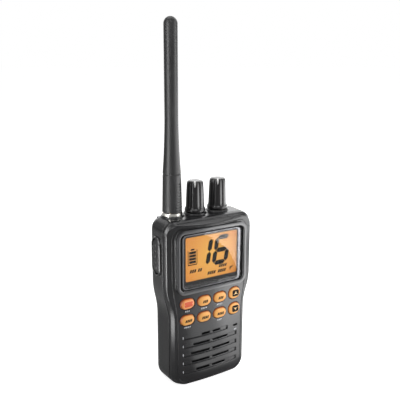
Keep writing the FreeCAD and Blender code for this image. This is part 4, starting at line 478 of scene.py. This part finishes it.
# ------------------------ Keypad
# Eight caps of cast translucent silicone over a rubber sheet with steel snap domes. Their flanks are painted
# deeper orange as shade, the caps glow a little with painted light, and the marks are screen printed.

# A cap's crown rises by CROWN over its rounded edge, PRINT_ROOM below the box that its print may fill. HAIR keeps
# a round end from closing to a point.
PRINT_ROOM, CROWN, CAP_EDGE = 0.08, 0.38, 0.9
FLANGE, FLANGE_BACK, FLANGE_FRONT = 0.5, 1.9, 2.7
FRONT_AIM, SHADE_GAIN = -0.96, 1.5
HAIR = 0.001
KEY_PLACES = {"key_red": (-16.71, 55.1), "key_top_left": (-5.57, 55.1), "key_top_right": (5.57, 55.1),
              "key_up": (16.71, 55.1), "key_low_left": (-16.71, 44.6), "key_low_middle": (-5.57, 44.6),
              "key_low_right": (5.57, 44.6), "key_down": (16.71, 44.6)}


def painted_shade_silicone(name, top, shade_colour, glow):
    """Silicone with painted shade, deeper in colour on faces that turn from the front, and a painted glow."""
    made = moulded(name, top, 0.42, mottle=0.08, grain=3000.0, depth=0.00001)
    tree = made.node_tree
    shader = tree.nodes["Principled BSDF"]
    aim = add(tree, "ShaderNodeSeparateXYZ", {0: add(tree, "ShaderNodeNewGeometry").outputs["Normal"]}).outputs["Y"]
    # Painted shade: the further a face turns from the front, the more of the deeper colour it takes.
    turned_shade = ramp(tree, aim, FRONT_AIM, SHADE_GAIN)
    grained = shader.inputs["Base Color"].links[0].from_socket
    shown = between(tree, turned_shade, grained, shade_colour)
    tree.links.new(shown, shader.inputs["Base Color"])
    # A painted glow in the cap's own colour.
    tree.links.new(shown, shader.inputs["Emission Color"])
    shader.inputs["Emission Strength"].default_value = glow
    return made


def rounded_cap(name, body, low, high, material):
    """A pillow-topped key over its lip and post, inside the box from low to high in millimetres."""
    x, z = (low.x + high.x) / 2, (low.z + high.z) / 2
    width, height = high.x - low.x - 2 * FLANGE, high.z - low.z - 2 * FLANGE
    rings = [(-FLANGE, high.y - FLANGE_BACK), (-FLANGE, high.y - FLANGE_FRONT), (0.0, high.y - FLANGE_FRONT)]
    for step in range(5):
        turn = pi / 2 * step / 4
        rings.append((CAP_EDGE * (1 - cos(turn)), low.y + PRINT_ROOM + CROWN + CAP_EDGE * (1 - sin(turn))))
    for share in (0.35, 0.65, 0.85, 0.97):
        reach = height / 2 - CAP_EDGE
        rings.append((CAP_EDGE + reach * share, low.y + PRINT_ROOM + CROWN * (1 - share) ** 2))
    outlines = []
    for inset, y in rings:
        ring = loop(width - 2 * inset, height - 2 * inset, height / 2 - inset - HAIR, x, z, 6)
        outlines.append([(a, y, b) for a, b in ring])
    return stack(name + "_cap", outlines, material, body)


amber_silicone = painted_shade_silicone("amber_silicone", tone(232, 164, 76), tone(194, 92, 36), 0.1)
rose_silicone = painted_shade_silicone("rose_silicone", tone(234, 146, 70), tone(192, 80, 30), 0.1)
key_amber = moulded("key_amber", tone(250, 208, 140), 0.5, grain=6000.0)
key_cherry = moulded("key_cherry", tone(218, 84, 34), 0.55, grain=5000.0)
key_cream = moulded("key_cream", tone(246, 176, 120), 0.5, grain=6000.0)
PRINT_PROUD, ARROW_PROUD = 0.05, 0.065
WORD_PITCH, WORD_WIDTH, WORD_HEIGHT = 1.2, 0.95, 1.7
for name, (x, z) in KEY_PLACES.items():
    low, high = (corner * 1000 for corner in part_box(name))
    finish = rose_silicone if name == "key_red" else amber_silicone
    cap = rounded_cap(name, name, low, high, finish)
    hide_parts(name)
    width, height = high.x - low.x - 2 * FLANGE, high.z - low.z - 2 * FLANGE

    def crown(a, b, proud=PRINT_PROUD):
        """Depth of the cap's pillow top at a point, with the ink's thickness on top."""
        aside = max(abs(a - x) - (width - height) / 2, 0.0)
        return low.y + PRINT_ROOM + CROWN * (aside ** 2 + (b - z) ** 2) / (height / 2 - CAP_EDGE) ** 2 - proud

    if name == "key_red":
        line, patch = loop(6.7, 4.3, 1.3, x + 0.3, z), loop(5.8, 3.4, 0.8, x + 0.3, z)
        print_on("key_red_line", [line], crown, key_cream, name, [patch])
        print_on("key_red_patch", [patch], crown, key_cherry, name)
    elif name in ("key_up", "key_down"):
        rise = 1 if name == "key_up" else -1
        icon = loop(5.0, 4.3, 1.2, x + 0.7, z)
        arrow = [(x - 1.1, z - rise * 0.9), (x + 2.5, z - rise * 0.9), (x + 0.7, z + rise * 1.3)]
        print_on(name + "_icon", [icon], crown, segment_black, name)
        print_on(name + "_arrow", [arrow], lambda a, b: crown(a, b, ARROW_PROUD), key_amber, name)
    else:
        count = 3 if name in ("key_top_left", "key_top_right") else 4
        bars = [leaning_bar(x + 0.3 + WORD_PITCH * (i - (count - 1) / 2), z - 0.2, WORD_WIDTH, WORD_HEIGHT)
                for i in range(count)]
        print_on(name + "_mark", bars, crown, segment_black, name)

dress(moulded("keypad_rubber", tone(70, 72, 74), 0.6, grain=1800.0), "keypad_web")

# White marks under the keys, screen printed on the curved panel, and pale strokes beside the grille that are painted
# highlights on the ends of its grooves.
TICK_PITCH, TICK_WIDTH, TICK_HEIGHT = 1.1, 0.7, 0.9
TICK_ROWS = [(-16.71, 50.3, 3), (-5.57, 50.3, 4), (5.57, 50.3, 4), (-16.71, 39.8, 4), (5.57, 39.8, 3),
             (18.3, 29.6, 2)]
GLINT_X, GLINT_HEIGHTS = -19.57, (33.1, 27.3, 21.55, 15.8, 10.0)


def panel_front(x, z):
    """Depth of the curved panel's skin, with the ink's thickness on top."""
    return face_depth(x) - INK_PROUD


ticks_and_glints = []
for x, z, count in TICK_ROWS:
    ticks_and_glints += [leaning_bar(x + TICK_PITCH * (i - (count - 1) / 2), z, TICK_WIDTH, TICK_HEIGHT) for i in range(count)]
# Painted highlights: pale strokes where the ends of the grille's grooves catch the light.
ticks_and_glints += [loop(0.5, 1.5, 0.15, GLINT_X, z) for z in GLINT_HEIGHTS]
white_ink_and_glint = moulded("white_ink_and_glint", tone(196, 198, 202), 0.5, grain=6000.0)
print_on("panel_print_and_glints", ticks_and_glints, panel_front, white_ink_and_glint, "chassis")


# ------------------------ Speaker and microphone
# A 34 mm speaker with a pressed steel frame, doped paper cone and ferrite magnet, behind a woven dust cloth,
# and an electret microphone in its own boss.

weave, tree, shader = blank("dust_cloth")
spacing = {"Vector": position(tree), "Scale": 420.0}
warp = add(tree, "ShaderNodeTexWave", spacing, bands_direction="X").outputs["Fac"]
weft = add(tree, "ShaderNodeTexWave", spacing, bands_direction="Z").outputs["Fac"]
threads = reckon(tree, "MULTIPLY", warp, weft)
tree.links.new(between(tree, threads, tone(8, 8, 9), tone(34, 34, 36)), shader.inputs["Base Color"])
emboss(tree, shader, 0.0001, threads)
shader.inputs["Roughness"].default_value = 0.85
dress(weave, "speaker_mesh")


# Turned, drawn or stamped metal: fine lines that follow one direction, and a little tarnish.
metal_lines, takes, gives = effect(
    "metal_lines", {"Colour": (0.5, 0.5, 0.5, 1.0), "Roughness": 0.25, "Lines": 3000.0, "Tarnish": 0.1},
    ("Colour", "Roughness", "Height"))
place = position(metal_lines)
stretched = add(metal_lines, "ShaderNodeVectorMath", {0: place, 1: (0.05, 0.05, 1.0)}, operation="MULTIPLY")
lines = noise(metal_lines, stretched.outputs[0], takes["Lines"], 2.0)
swing = ramp(metal_lines, noise(metal_lines, place, 180.0, 4.0), 0.5, takes["Tarnish"], clamp=False)
dulled = add(metal_lines, "ShaderNodeHueSaturation", {"Value": reckon(metal_lines, "ADD", 1.0, swing),
                                                      "Color": takes["Colour"]})
metal_lines.links.new(dulled.outputs[0], gives.inputs["Colour"])
metal_lines.links.new(reckon(metal_lines, "ADD", takes["Roughness"], swing), gives.inputs["Roughness"])
metal_lines.links.new(lines, gives.inputs["Height"])


def metal(name, colour, roughness, lines=3000.0, tarnish=0.15, depth=0.000004):
    """Bare or plated metal with its working lines."""
    made, tree, shader = blank(name)
    surface = add(tree, "ShaderNodeGroup", {"Colour": colour, "Roughness": roughness, "Lines": lines,
                                            "Tarnish": tarnish}, node_tree=metal_lines).outputs
    tree.links.new(surface["Colour"], shader.inputs["Base Color"])
    tree.links.new(surface["Roughness"], shader.inputs["Roughness"])
    emboss(tree, shader, depth, surface["Height"])
    shader.inputs["Metallic"].default_value = 1.0
    return made


dress(metal("zinc_plate", tone(186, 188, 190), 0.32), "speaker_frame")
dress(moulded("cone_paper", tone(58, 52, 46), 0.8, mottle=0.4, grain=1500.0, depth=0.00006), "speaker_cone")
dress(moulded("ferrite", tone(52, 50, 52), 0.55, mottle=0.3, grain=2500.0, depth=0.00003), "speaker_magnet")
dress(moulded("microphone_foam", tone(30, 30, 32), 0.9, grain=3000.0, depth=0.0001), "microphone")


# ------------------------ Circuit board
# Green solder mask over glass-fibre laminate, with copper traces that show as paler lines, two tinned
# screening cans soldered over the radio and stainless snap domes under the keys.

solder_mask, tree, shader = blank("solder_mask")
turned = add(tree, "ShaderNodeMapping", {"Vector": position(tree), "Rotation": (pi / 2, 0.0, 0.0)}).outputs[0]
tracks = add(tree, "ShaderNodeTexBrick", {"Vector": turned, "Scale": 420.0, "Mortar Size": 0.05,
                                          "Color1": tone(26, 84, 52), "Color2": tone(22, 74, 46),
                                          "Mortar": tone(48, 116, 74)})
tree.links.new(tracks.outputs["Color"], shader.inputs["Base Color"])
emboss(tree, shader, 0.00003, tracks.outputs["Fac"])
shader.inputs["Roughness"].default_value = 0.3
dress(solder_mask, "main_board")
dress(metal("tinned_steel", tone(196, 196, 192), 0.35, tarnish=0.3), "shield_cans")
dress(metal("snap_dome_steel", tone(206, 206, 204), 0.22), "key_domes")


# ------------------------ Volume and squelch
# Rotary controls with a nut and a rubber seal on their bushings. The knobs are glossy black ABS, tapered and
# fluted for wet fingers, with a white insert that points to the setting.

KNOBS = {"volume": -2.9, "squelch": 13.2}
KNOB_Y = -2.0
LOBES, LOBE_STEPS = 6, 24
GROOVE_DEPTH, GROOVE_SHARPNESS = 0.42, 8
POINTER_TURN = radians(30.7)

dress(moulded("control_body", tone(44, 46, 50), 0.45), "volume_pot", "squelch_pot")
dress(metal("nickel_nut", tone(198, 196, 188), 0.24), "pot_nuts")
dress(moulded("seal_rubber", tone(26, 26, 26), 0.7), "knob_seals")
dress(metal("shaft_brass", tone(196, 172, 116), 0.3), "volume_shaft", "squelch_shaft")

knob_gloss = moulded("knob_gloss", tone(24, 22, 24), 0.3, mottle=0.15, grain=3000.0, depth=0.000006, worn=0.15,
                     coat=0.15)
pointer_white = moulded("pointer_white", tone(250, 250, 248), 0.4)
# Radius, height and share of the flutes' depth, from the bore out and up to the crown.
KNOB_PROFILE = [(0.0, 122.15, 0), (3.05, 122.15, 0), (3.05, 110.62, 0), (4.9, 110.62, 0), (4.9, 107.65, 0),
                (6.15, 107.65, 0), (6.36, 107.8, 0), (6.4, 108.2, 0), (6.38, 109.1, 0), (6.2, 109.5, 0.1),
                (5.98, 109.75, 0.4), (5.88, 110.2, 0.8), (5.82, 111.2, 1), (5.68, 114.5, 1), (5.54, 118.0, 1),
                (5.38, 121.5, 1), (5.22, 124.2, 1), (5.12, 124.9, 0.9), (4.92, 125.6, 0.65), (4.55, 126.15, 0.3),
                (4.0, 126.48, 0.1), (3.2, 126.59, 0), (1.6, 126.5, 0), (0.0, 126.46, 0)]
# Radius, height and half width of the insert, which follows the crown's edge and a flute's ridge, a hair proud.
POINTER_PATH = [(3.4, 126.6, 0.5), (4.0, 126.54, 0.5), (4.6, 126.22, 0.5), (5.0, 125.65, 0.48), (5.19, 124.9, 0.42),
                (5.27, 124.2, 0.34), (5.33, 123.4, 0.2)]
POINTER_DEPTH, POINTER_SLANT = 0.5, 0.7
along = Vector((-sin(POINTER_TURN), -cos(POINTER_TURN)))
across = Vector((cos(POINTER_TURN), -sin(POINTER_TURN)))
for name, centre in KNOBS.items():
    turns = LOBES * LOBE_STEPS
    points, faces, levels = [], [], []
    for radius, z, fluted in KNOB_PROFILE:
        levels.append(len(points))
        if radius == 0:
            points.append((centre, KNOB_Y, z))
            continue
        for i in range(turns):
            angle = 2 * pi * i / turns
            groove = abs(sin(LOBES / 2 * (angle + pi / 2 + POINTER_TURN))) ** GROOVE_SHARPNESS
            r = radius - GROOVE_DEPTH * fluted * groove
            points.append((centre + r * cos(angle), KNOB_Y + r * sin(angle), z))
    for level in range(len(KNOB_PROFILE) - 1):
        a, b = levels[level], levels[level + 1]
        if KNOB_PROFILE[level][0] == 0:
            faces += [(a, b + i, b + (i + 1) % turns) for i in range(turns)]
        elif KNOB_PROFILE[level + 1][0] == 0:
            faces += [(a + i, a + (i + 1) % turns, b) for i in range(turns)]
        else:
            faces += band(a, b, turns)
    knob = mesh_piece(name + "_fluted_knob", points, faces, knob_gloss, name, smooth=True)
    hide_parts(name + "_knob")

    points = []
    for radius, z, half in POINTER_PATH:
        for side in (-half, half):
            for inward in (0.0, POINTER_DEPTH):
                x, y = along * (radius - inward * POINTER_SLANT) + across * side
                points.append((centre + x, KNOB_Y + y, z - inward * POINTER_SLANT))
    faces = []
    for i in range(len(POINTER_PATH) - 1):
        a, b = 4 * i, 4 * (i + 1)
        faces += [(a, a + 2, b + 2, b), (a + 1, b + 1, b + 3, a + 3)]
        faces += [(a, b, b + 1, a + 1), (a + 2, a + 3, b + 3, b + 2)]
    faces += [(0, 1, 3, 2), (len(points) - 4, len(points) - 2, len(points) - 1, len(points) - 3)]
    insert = mesh_piece(name + "_insert", points, faces, pointer_white, name)
    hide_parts(name + "_pointer")


# ------------------------ Antenna
# A helical whip: copper wire wound on a glass-fibre rod, moulded over in black rubber, with a threaded brass
# plug and its centre pin. It screws into a bright nickel jack in the deck.

dress(metal("bright_nickel", tone(214, 212, 206), 0.12, tarnish=0.1), "antenna_jack")
dress(metal("plug_brass", tone(206, 182, 124), 0.22), "antenna_plug")
dress(metal("pin_gold", tone(226, 188, 104), 0.18), "antenna_pin")

WIRE_FROM, WIRE_GAIN = 0.55, 6.0
wound_rod, tree, shader = blank("wound_rod")
winding = {"Vector": position(tree), "Scale": 130.0}
wire = add(tree, "ShaderNodeTexWave", winding, bands_direction="Z").outputs["Fac"]
copper = ramp(tree, wire, WIRE_FROM, WIRE_GAIN)
tree.links.new(between(tree, copper, tone(206, 200, 172), tone(196, 116, 66)), shader.inputs["Base Color"])
tree.links.new(copper, shader.inputs["Metallic"])
emboss(tree, shader, 0.0002, copper)
shader.inputs["Roughness"].default_value = 0.35
dress(wound_rod, "antenna_core")
dress(moulded("whip_rubber", tone(28, 28, 29), 0.44, mottle=0.2, grain=2600.0, depth=0.00002, worn=0.25),
      "antenna_sheath")


# ------------------------ Talk button
# An oval rubber pad with rows of small grip dots, in a snapped-in glossy rim on the left side. Its post
# presses a sealed switch on a rib of the housing.

PAD_Y, PAD_Z, PAD_REACH = -4.5, 84.0, 10.4
RIM_WIDTH, RIM_HEIGHT = 11.0, 24.4
WALL_X = -30.4


def wall_piece(name, rings, material, body, tube=False):
    """Ovals stacked outward on the left wall. Each is its inset from the rim's outline, how far it stands out of the
    wall, and how much of the pad's dome it follows."""
    outlines = []
    for inset, proud, domed in rings:
        ring = loop(RIM_WIDTH - 2 * inset, RIM_HEIGHT - 2 * inset, RIM_WIDTH / 2 - inset - HAIR, PAD_Y, PAD_Z, 10)
        outlines.append([(WALL_X - proud + domed * ((z - PAD_Z) / PAD_REACH) ** 2, y, z) for y, z in ring])
    return stack(name, outlines, material, body, tube)


rim_gloss = moulded("rim_gloss", tone(30, 30, 32), 0.2, grain=3000.0, depth=0.000006, coat=0.4)
RIM_RINGS = [(0.1, -0.35, 0), (0.0, 0.1, 0), (0.02, 0.35, 0), (0.12, 0.68, 0), (0.32, 0.96, 0), (0.58, 1.13, 0),
             (0.85, 1.2, 0), (1.1, 1.05, 0), (1.2, 0.5, 0), (1.2, -0.35, 0)]
rim = wall_piece("talk_rim", RIM_RINGS, rim_gloss, "chassis", tube=True)
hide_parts("ptt_bezel")

pad_rubber = moulded("pad_rubber", tone(34, 34, 36), 0.5, mottle=0.15, grain=2200.0, depth=0.00002, worn=0.2)
PAD_RINGS = [(1.7, -2.4, 0), (1.7, 0.3, 0.0), (1.75, 0.75, 0.4), (1.95, 1.05, 0.6), (2.3, 1.22, 0.7),
             (2.9, 1.32, 0.75), (3.8, 1.37, 0.8), (5.3, 1.39, 0.8)]
pad = wall_piece("talk_pad", PAD_RINGS, pad_rubber, "ptt")
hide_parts("ptt_button")

# Grip dots in two staggered columns, five in one and four in the other. A dot's profile is its radius and height.
DOT_COLUMNS = [(-4.9, 5, 0.0), (-1.9, 4, 0.5)]
DOT_PITCH, DOT_STEPS = 3.5, 12
DOT_PROFILE = [(0.85, -0.2), (0.8, 0.05), (0.6, 0.2), (0.32, 0.3)]
DOME_PROUD, DOME_FALL = 1.36, 0.8
points, faces = [], []
for y, rows, shift in DOT_COLUMNS:
    for row in range(rows):
        z = PAD_Z + DOT_PITCH * (row - 2 + shift)
        skin = WALL_X - DOME_PROUD + DOME_FALL * ((z - PAD_Z) / PAD_REACH) ** 2
        first = len(points)
        for radius, height in DOT_PROFILE:
            for i in range(DOT_STEPS):
                angle = 2 * pi / DOT_STEPS * i
                points.append((skin - height, y + radius * cos(angle), z + radius * sin(angle)))
        last = len(points) - DOT_STEPS
        for a in range(first, last, DOT_STEPS):
            faces += band(a, a + DOT_STEPS, DOT_STEPS)
        faces += [tuple(range(first, first + DOT_STEPS)), tuple(range(last, len(points)))]
# The dots are paler than the pad, a painted sheen, and glossier.
grip_rubber_painted_sheen = moulded("grip_rubber_painted_sheen", tone(62, 62, 64), 0.3, grain=2200.0)
mesh_piece("talk_grip", points, faces, grip_rubber_painted_sheen, "ptt", smooth=True)

# The plate that the rim snaps into, flush with the wall, fills the corners of its square opening.
SEAT_PROUD, SEAT_DEPTH = 0.01, 0.4
outer = loop(10.4, 23.8, 0.4, PAD_Y, PAD_Z, 8)
inner = loop(10.2, 23.6, 5.09, PAD_Y, PAD_Z, 8)
front, back = WALL_X - SEAT_PROUD, WALL_X + SEAT_DEPTH
outlines = [[(x, y, z) for y, z in ring] for x, ring in ((front, outer), (front, inner), (back, inner), (back, outer))]
stack("talk_seat", outlines, housing_plastic, "chassis", tube=True, smooth=False)
dress(moulded("switch_body", tone(48, 48, 50), 0.5), "ptt_switch")


# ------------------------ Accessory jack and cover
# A sealed four-pole jack with a body of black nylon, behind a hole in the right wall. A soft rubber cover plugs
# the hole and hinges on its own web.

dress(moulded("jack_body", tone(42, 42, 44), 0.5), "accessory_jack")
dress(moulded("cover_rubber", tone(32, 32, 34), 0.6, mottle=0.2, grain=2200.0, depth=0.00003, worn=0.2),
      "jack_cover")


# ------------------------ Battery pack
# Two lithium cells in a snapped-together case of black ABS, with gold-plated contacts that meet sprung blades
# in the housing.

dress(moulded("pack_plastic", tone(34, 34, 36), 0.5, mottle=0.15, grain=3000.0, depth=0.00003, worn=0.35),
      "battery_case", "battery_lid")
dress(moulded("cell_wrap", tone(52, 92, 138), 0.35, grain=1500.0), "battery_cells")
dress(metal("contact_gold", tone(228, 192, 110), 0.2, tarnish=0.25), "pack_contacts", "radio_contacts")


# ------------------------ Latch
# A ribbed slide of black acetal over a small steel spring, in the hump above the pack. The spring is wound wire
# held at its top; here its coil rides with the chassis and keeps its length.

dress(moulded("latch_acetal", tone(28, 28, 30), 0.38, worn=0.4), "battery_latch")
spring_steel = metal("spring_steel", tone(176, 178, 180), 0.25, lines=6000.0)
low, high = (corner * 1000 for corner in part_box("latch_spring"))
WIRE, TURNS, TURN_STEPS, WIRE_SIDES = 0.25, 4, 20, 8
middle = (low + high) / 2
reach, climb = (high.x - low.x) / 2 - WIRE, high.z - low.z - 2 * WIRE
outlines = []
for level in range(TURNS * TURN_STEPS + 1):
    angle = 2 * pi * level / TURN_STEPS
    bends = [2 * pi / WIRE_SIDES * i for i in range(WIRE_SIDES)]
    rings = [(reach + WIRE * cos(bend), WIRE * sin(bend)) for bend in bends]
    outlines.append([(middle.x + r * cos(angle), middle.y + r * sin(angle),
                      low.z + WIRE + climb * level / (TURNS * TURN_STEPS) + rise) for r, rise in rings])
coil = stack("latch_coil", outlines, spring_steel, "chassis")
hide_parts("latch_spring")
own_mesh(coil)


# ------------------------ Belt clip
# A springy nylon tongue on a steel pin, between the ears of a bracket that two screws hold to the pack. A steel
# coil on the pin keeps it closed.

dress(moulded("clip_nylon", tone(30, 30, 31), 0.42, mottle=0.15, grain=2400.0, depth=0.00003, worn=0.5),
      "belt_clip", "clip_bracket")
dress(metal("pin_steel", tone(188, 190, 192), 0.2), "clip_pin")
dress(spring_steel, "clip_spring")


# ------------------------ Screws and strap eye
# Socket-head screws of blackened stainless steel hold the halves of the housing and the clip's bracket. The eye
# for a wrist strap is of stainless steel, and its square root is set in the back.

dress(metal("blackened_steel", tone(96, 96, 98), 0.35, tarnish=0.3), "case_screws", "clip_screws")
dress(metal("stainless_eye", tone(96, 97, 100), 0.4), "strap_lug")


# ------------------------ Studio
# A white floor that runs back for ever, under a pale sky and six soft boxes. Bright cards, which only glossy
# surfaces see, put the lights on the left edges, the deck, the knobs and the right side. The reflection of the
# last one crosses the display's window.

FLOOR_SIZE = 30.0
FLOOR_GLOW = 0.88
SKY_FILL, SKY_SEEN, SKY_MIRRORED = 0.2, 0.8, 0.2
floor_mesh = bpy.data.meshes.new("studio_floor")
half = FLOOR_SIZE / 2
floor_mesh.from_pydata([(-half, -half, 0), (half, -half, 0), (half, half, 0), (-half, half, 0)], [], [(0, 1, 2, 3)])
studio_floor = put("studio_floor", floor_mesh)
paper, tree, shader = blank("studio_paper")
shader.inputs["Base Color"].default_value = tone(206, 206, 206)
shader.inputs["Roughness"].default_value = 0.9
shader.inputs["Specular IOR Level"].default_value = 0.0
shader.inputs["Emission Color"].default_value = (1.0, 1.0, 1.0, 1.0)
camera_ray = add(tree, "ShaderNodeLightPath").outputs["Is Camera Ray"]
lifted = add(tree, "ShaderNodeEmission", {"Strength": FLOOR_GLOW})
both = add(tree, "ShaderNodeAddShader", {0: shader.outputs[0], 1: lifted.outputs[0]})
seen = add(tree, "ShaderNodeMixShader", {0: camera_ray, 1: shader.outputs[0], 2: both.outputs[0]})
tree.links.new(seen.outputs[0], tree.nodes["Material Output"].inputs["Surface"])
floor_mesh.materials.append(paper)

world = bpy.data.worlds.new("studio")
bpy.context.scene.world = world
world.use_nodes = True
tree = world.node_tree
path = add(tree, "ShaderNodeLightPath").outputs
direct = reckon(tree, "MAXIMUM", path["Is Camera Ray"], path["Is Transmission Ray"])
mirrored = reckon(tree, "MULTIPLY", path["Is Glossy Ray"], SKY_MIRRORED)
bright = reckon(tree, "ADD", reckon(tree, "MULTIPLY", direct, SKY_SEEN), mirrored)
tree.links.new(reckon(tree, "ADD", bright, SKY_FILL), tree.nodes["Background"].inputs["Strength"])
tree.nodes["Background"].inputs["Color"].default_value = (1.0, 1.0, 1.0, 1.0)


def soft_box(name, spot, aim, width, height, watts):
    """A soft box that isn't seen itself. It stands in a spot and faces its aim."""
    lamp = bpy.data.lights.new(name, "AREA")
    lamp.shape = "RECTANGLE"
    lamp.size, lamp.size_y, lamp.energy = width, height, watts
    box = put(name, lamp)
    box.location = spot
    box.rotation_euler = (Vector(aim) - Vector(spot)).to_track_quat("-Z", "Y").to_euler()
    box.visible_camera = False


soft_box("box_right", (0.40, -0.28, 0.12), (0, 0, 0.06), 0.2, 0.24, 1.2)
soft_box("box_front", (-0.3, -0.9, 0.75), (0, 0, 0.1), 0.6, 0.5, 3.0)
soft_box("box_top", (0.0, 0.2, 0.9), (0, 0, 0.1), 0.7, 0.5, 3.0)
soft_box("box_back", (0.55, 0.45, 0.5), (0, 0, 0.1), 0.35, 0.35, 1.2)
soft_box("box_rear", (0.1, 0.9, 0.4), (0, 0, 0.08), 0.6, 0.4, 1.0)
soft_box("box_edge", (0.45, -0.26, 0.42), (0, 0, 0.1), 0.16, 0.16, 0.7)


def bounce_card(name, corners, strength):
    """A bright card that only shows in glossy surfaces. Its corners are in millimetres."""
    mesh = bpy.data.meshes.new(name)
    mesh.from_pydata([Vector(corner) / 1000 for corner in corners], [], [tuple(range(len(corners)))])
    card = put(name, mesh)
    glow, tree, _ = blank(name)
    tree.links.new(add(tree, "ShaderNodeEmission", {"Strength": strength}).outputs[0],
                   tree.nodes["Material Output"].inputs["Surface"])
    mesh.materials.append(glow)
    card.visible_camera = card.visible_diffuse = card.visible_shadow = card.visible_transmission = False


LEFT_X, LEFT_NEAR, LEFT_FAR = -85, -34, -8
for part, low, high, strength in (("low", 3, 40, 9.0), ("ridge", 40, 86, 19.0), ("middle", 86, 106, 3.5),
                                  ("high", 106, 270, 9.0)):
    bounce_card("left_card_" + part, [(LEFT_X, LEFT_NEAR, low), (LEFT_X, LEFT_FAR, low), (LEFT_X, LEFT_FAR, high),
                                      (LEFT_X, LEFT_NEAR, high)], strength)
bounce_card("collar_card", [(-150, -70, 68), (-150, 110, 68), (-150, 110, 84), (-150, -70, 84)], 1.6)
bounce_card("floor_card", [(24, -26, 0.5), (43, -62, 0.5), (120, -62, 0.5), (60, -22, 0.5)], 3.0)
bounce_card("far_card", [(43, -62, 0.5), (92, -155, 0.5), (150, -155, 0.5), (158, -205, 0.5), (235, -205, 0.5),
                         (150, -62, 0.5)], 5.5)
bounce_card("deck_card", [(250, -110, 650), (330, -110, 600), (330, 20, 600), (250, 20, 650)], 9.0)
bounce_card("back_card", [(-60, 330, 125), (290, 160, 125), (290, 160, 280), (-60, 330, 280)], 2.2)
# A bent card round the right side, in six flat parts with a brighter lower half.
RIGHT_RADIUS, RIGHT_START, RIGHT_STEP = 280, -62, 17
for step in range(6):
    bends = [radians(RIGHT_START + RIGHT_STEP * k) for k in (step, step + 1)]
    (a, b), (c, d) = ((RIGHT_RADIUS * cos(bend), RIGHT_RADIUS * sin(bend)) for bend in bends)
    for low, high, strength in ((15, 84, 5.5), (84, 160, 2.6)):
        bounce_card("right_card_%d_%d" % (step, low), [(a, b, low), (c, d, low), (c, d, high), (a, b, high)], strength)
bounce_card("low_card", [(-6, -30, 0.6), (10, -100, 0.6), (34, -155, 0.6), (91, -155, 0.6), (24, -26, 0.6)], 2.2)
bounce_card("side_card", [(114, -156, 0.5), (199, -280, 0.5), (340, -280, 0.5), (160, -156, 0.5)], 8.0)
# The window's card, whose outline is given across and up in its own plane.
CARD_CENTRE = Vector((86.3, -137.3, 46.3))
CARD_RIGHT = Vector((-0.8353, -0.5498, 0.0))
CARD_UP = Vector((0.1705, -0.2591, 0.9507))
bounce_card("window_card", [CARD_CENTRE + CARD_RIGHT * a + CARD_UP * b for a, b in (
    (17.3, 2.8), (11.4, 0.4), (5.0, -3.8), (-1.5, -7.8), (-4.6, -11.9), (-7.4, -16.4), (-9.3, -20.9), (-11.3, -25.8),
    (-22.0, -30.0), (-24.0, 14.0), (-10.0, 24.0), (19.0, 20.0))], 8.0)


# ------------------------ Camera
# A 49.5 mm lens on a 36 mm frame, to the left of the radio's front and looking down on it. TARGET is a point in
# millimetres, which lies DISTANCE ahead of the lens, and ACROSS and UPWARD from its axis.

YAW, PITCH, ROLL = radians(30.717), radians(14.145), radians(0.206)
TARGET, DISTANCE, ACROSS, UPWARD = (0, -18, 60), 335.533, 7.41, -55.67
FOCAL_LENGTH, FRAME_WIDTH = 49.5, 36.0
heading = Vector((sin(YAW), cos(YAW), 0))
level = Vector((cos(YAW), -sin(YAW), 0))
ahead = heading * cos(PITCH) - Vector((0, 0, 1)) * sin(PITCH)
upright = Vector((0, 0, 1)) * cos(PITCH) + heading * sin(PITCH)
right = level * cos(ROLL) + upright * sin(ROLL)
top = upright * cos(ROLL) - level * sin(ROLL)
spot = Vector(TARGET) - ACROSS * right - UPWARD * top - DISTANCE * ahead
lens = bpy.data.cameras.new("camera")
lens.lens, lens.sensor_width = FOCAL_LENGTH, FRAME_WIDTH
lens.clip_start, lens.clip_end = 0.01, 100.0
camera = put("camera", lens)
camera.matrix_world = Matrix.Translation(spot / 1000) @ Matrix((right, top, -ahead)).transposed().to_4x4()
bpy.context.scene.camera = camera
bpy.context.scene.view_settings.view_transform = "Standard"
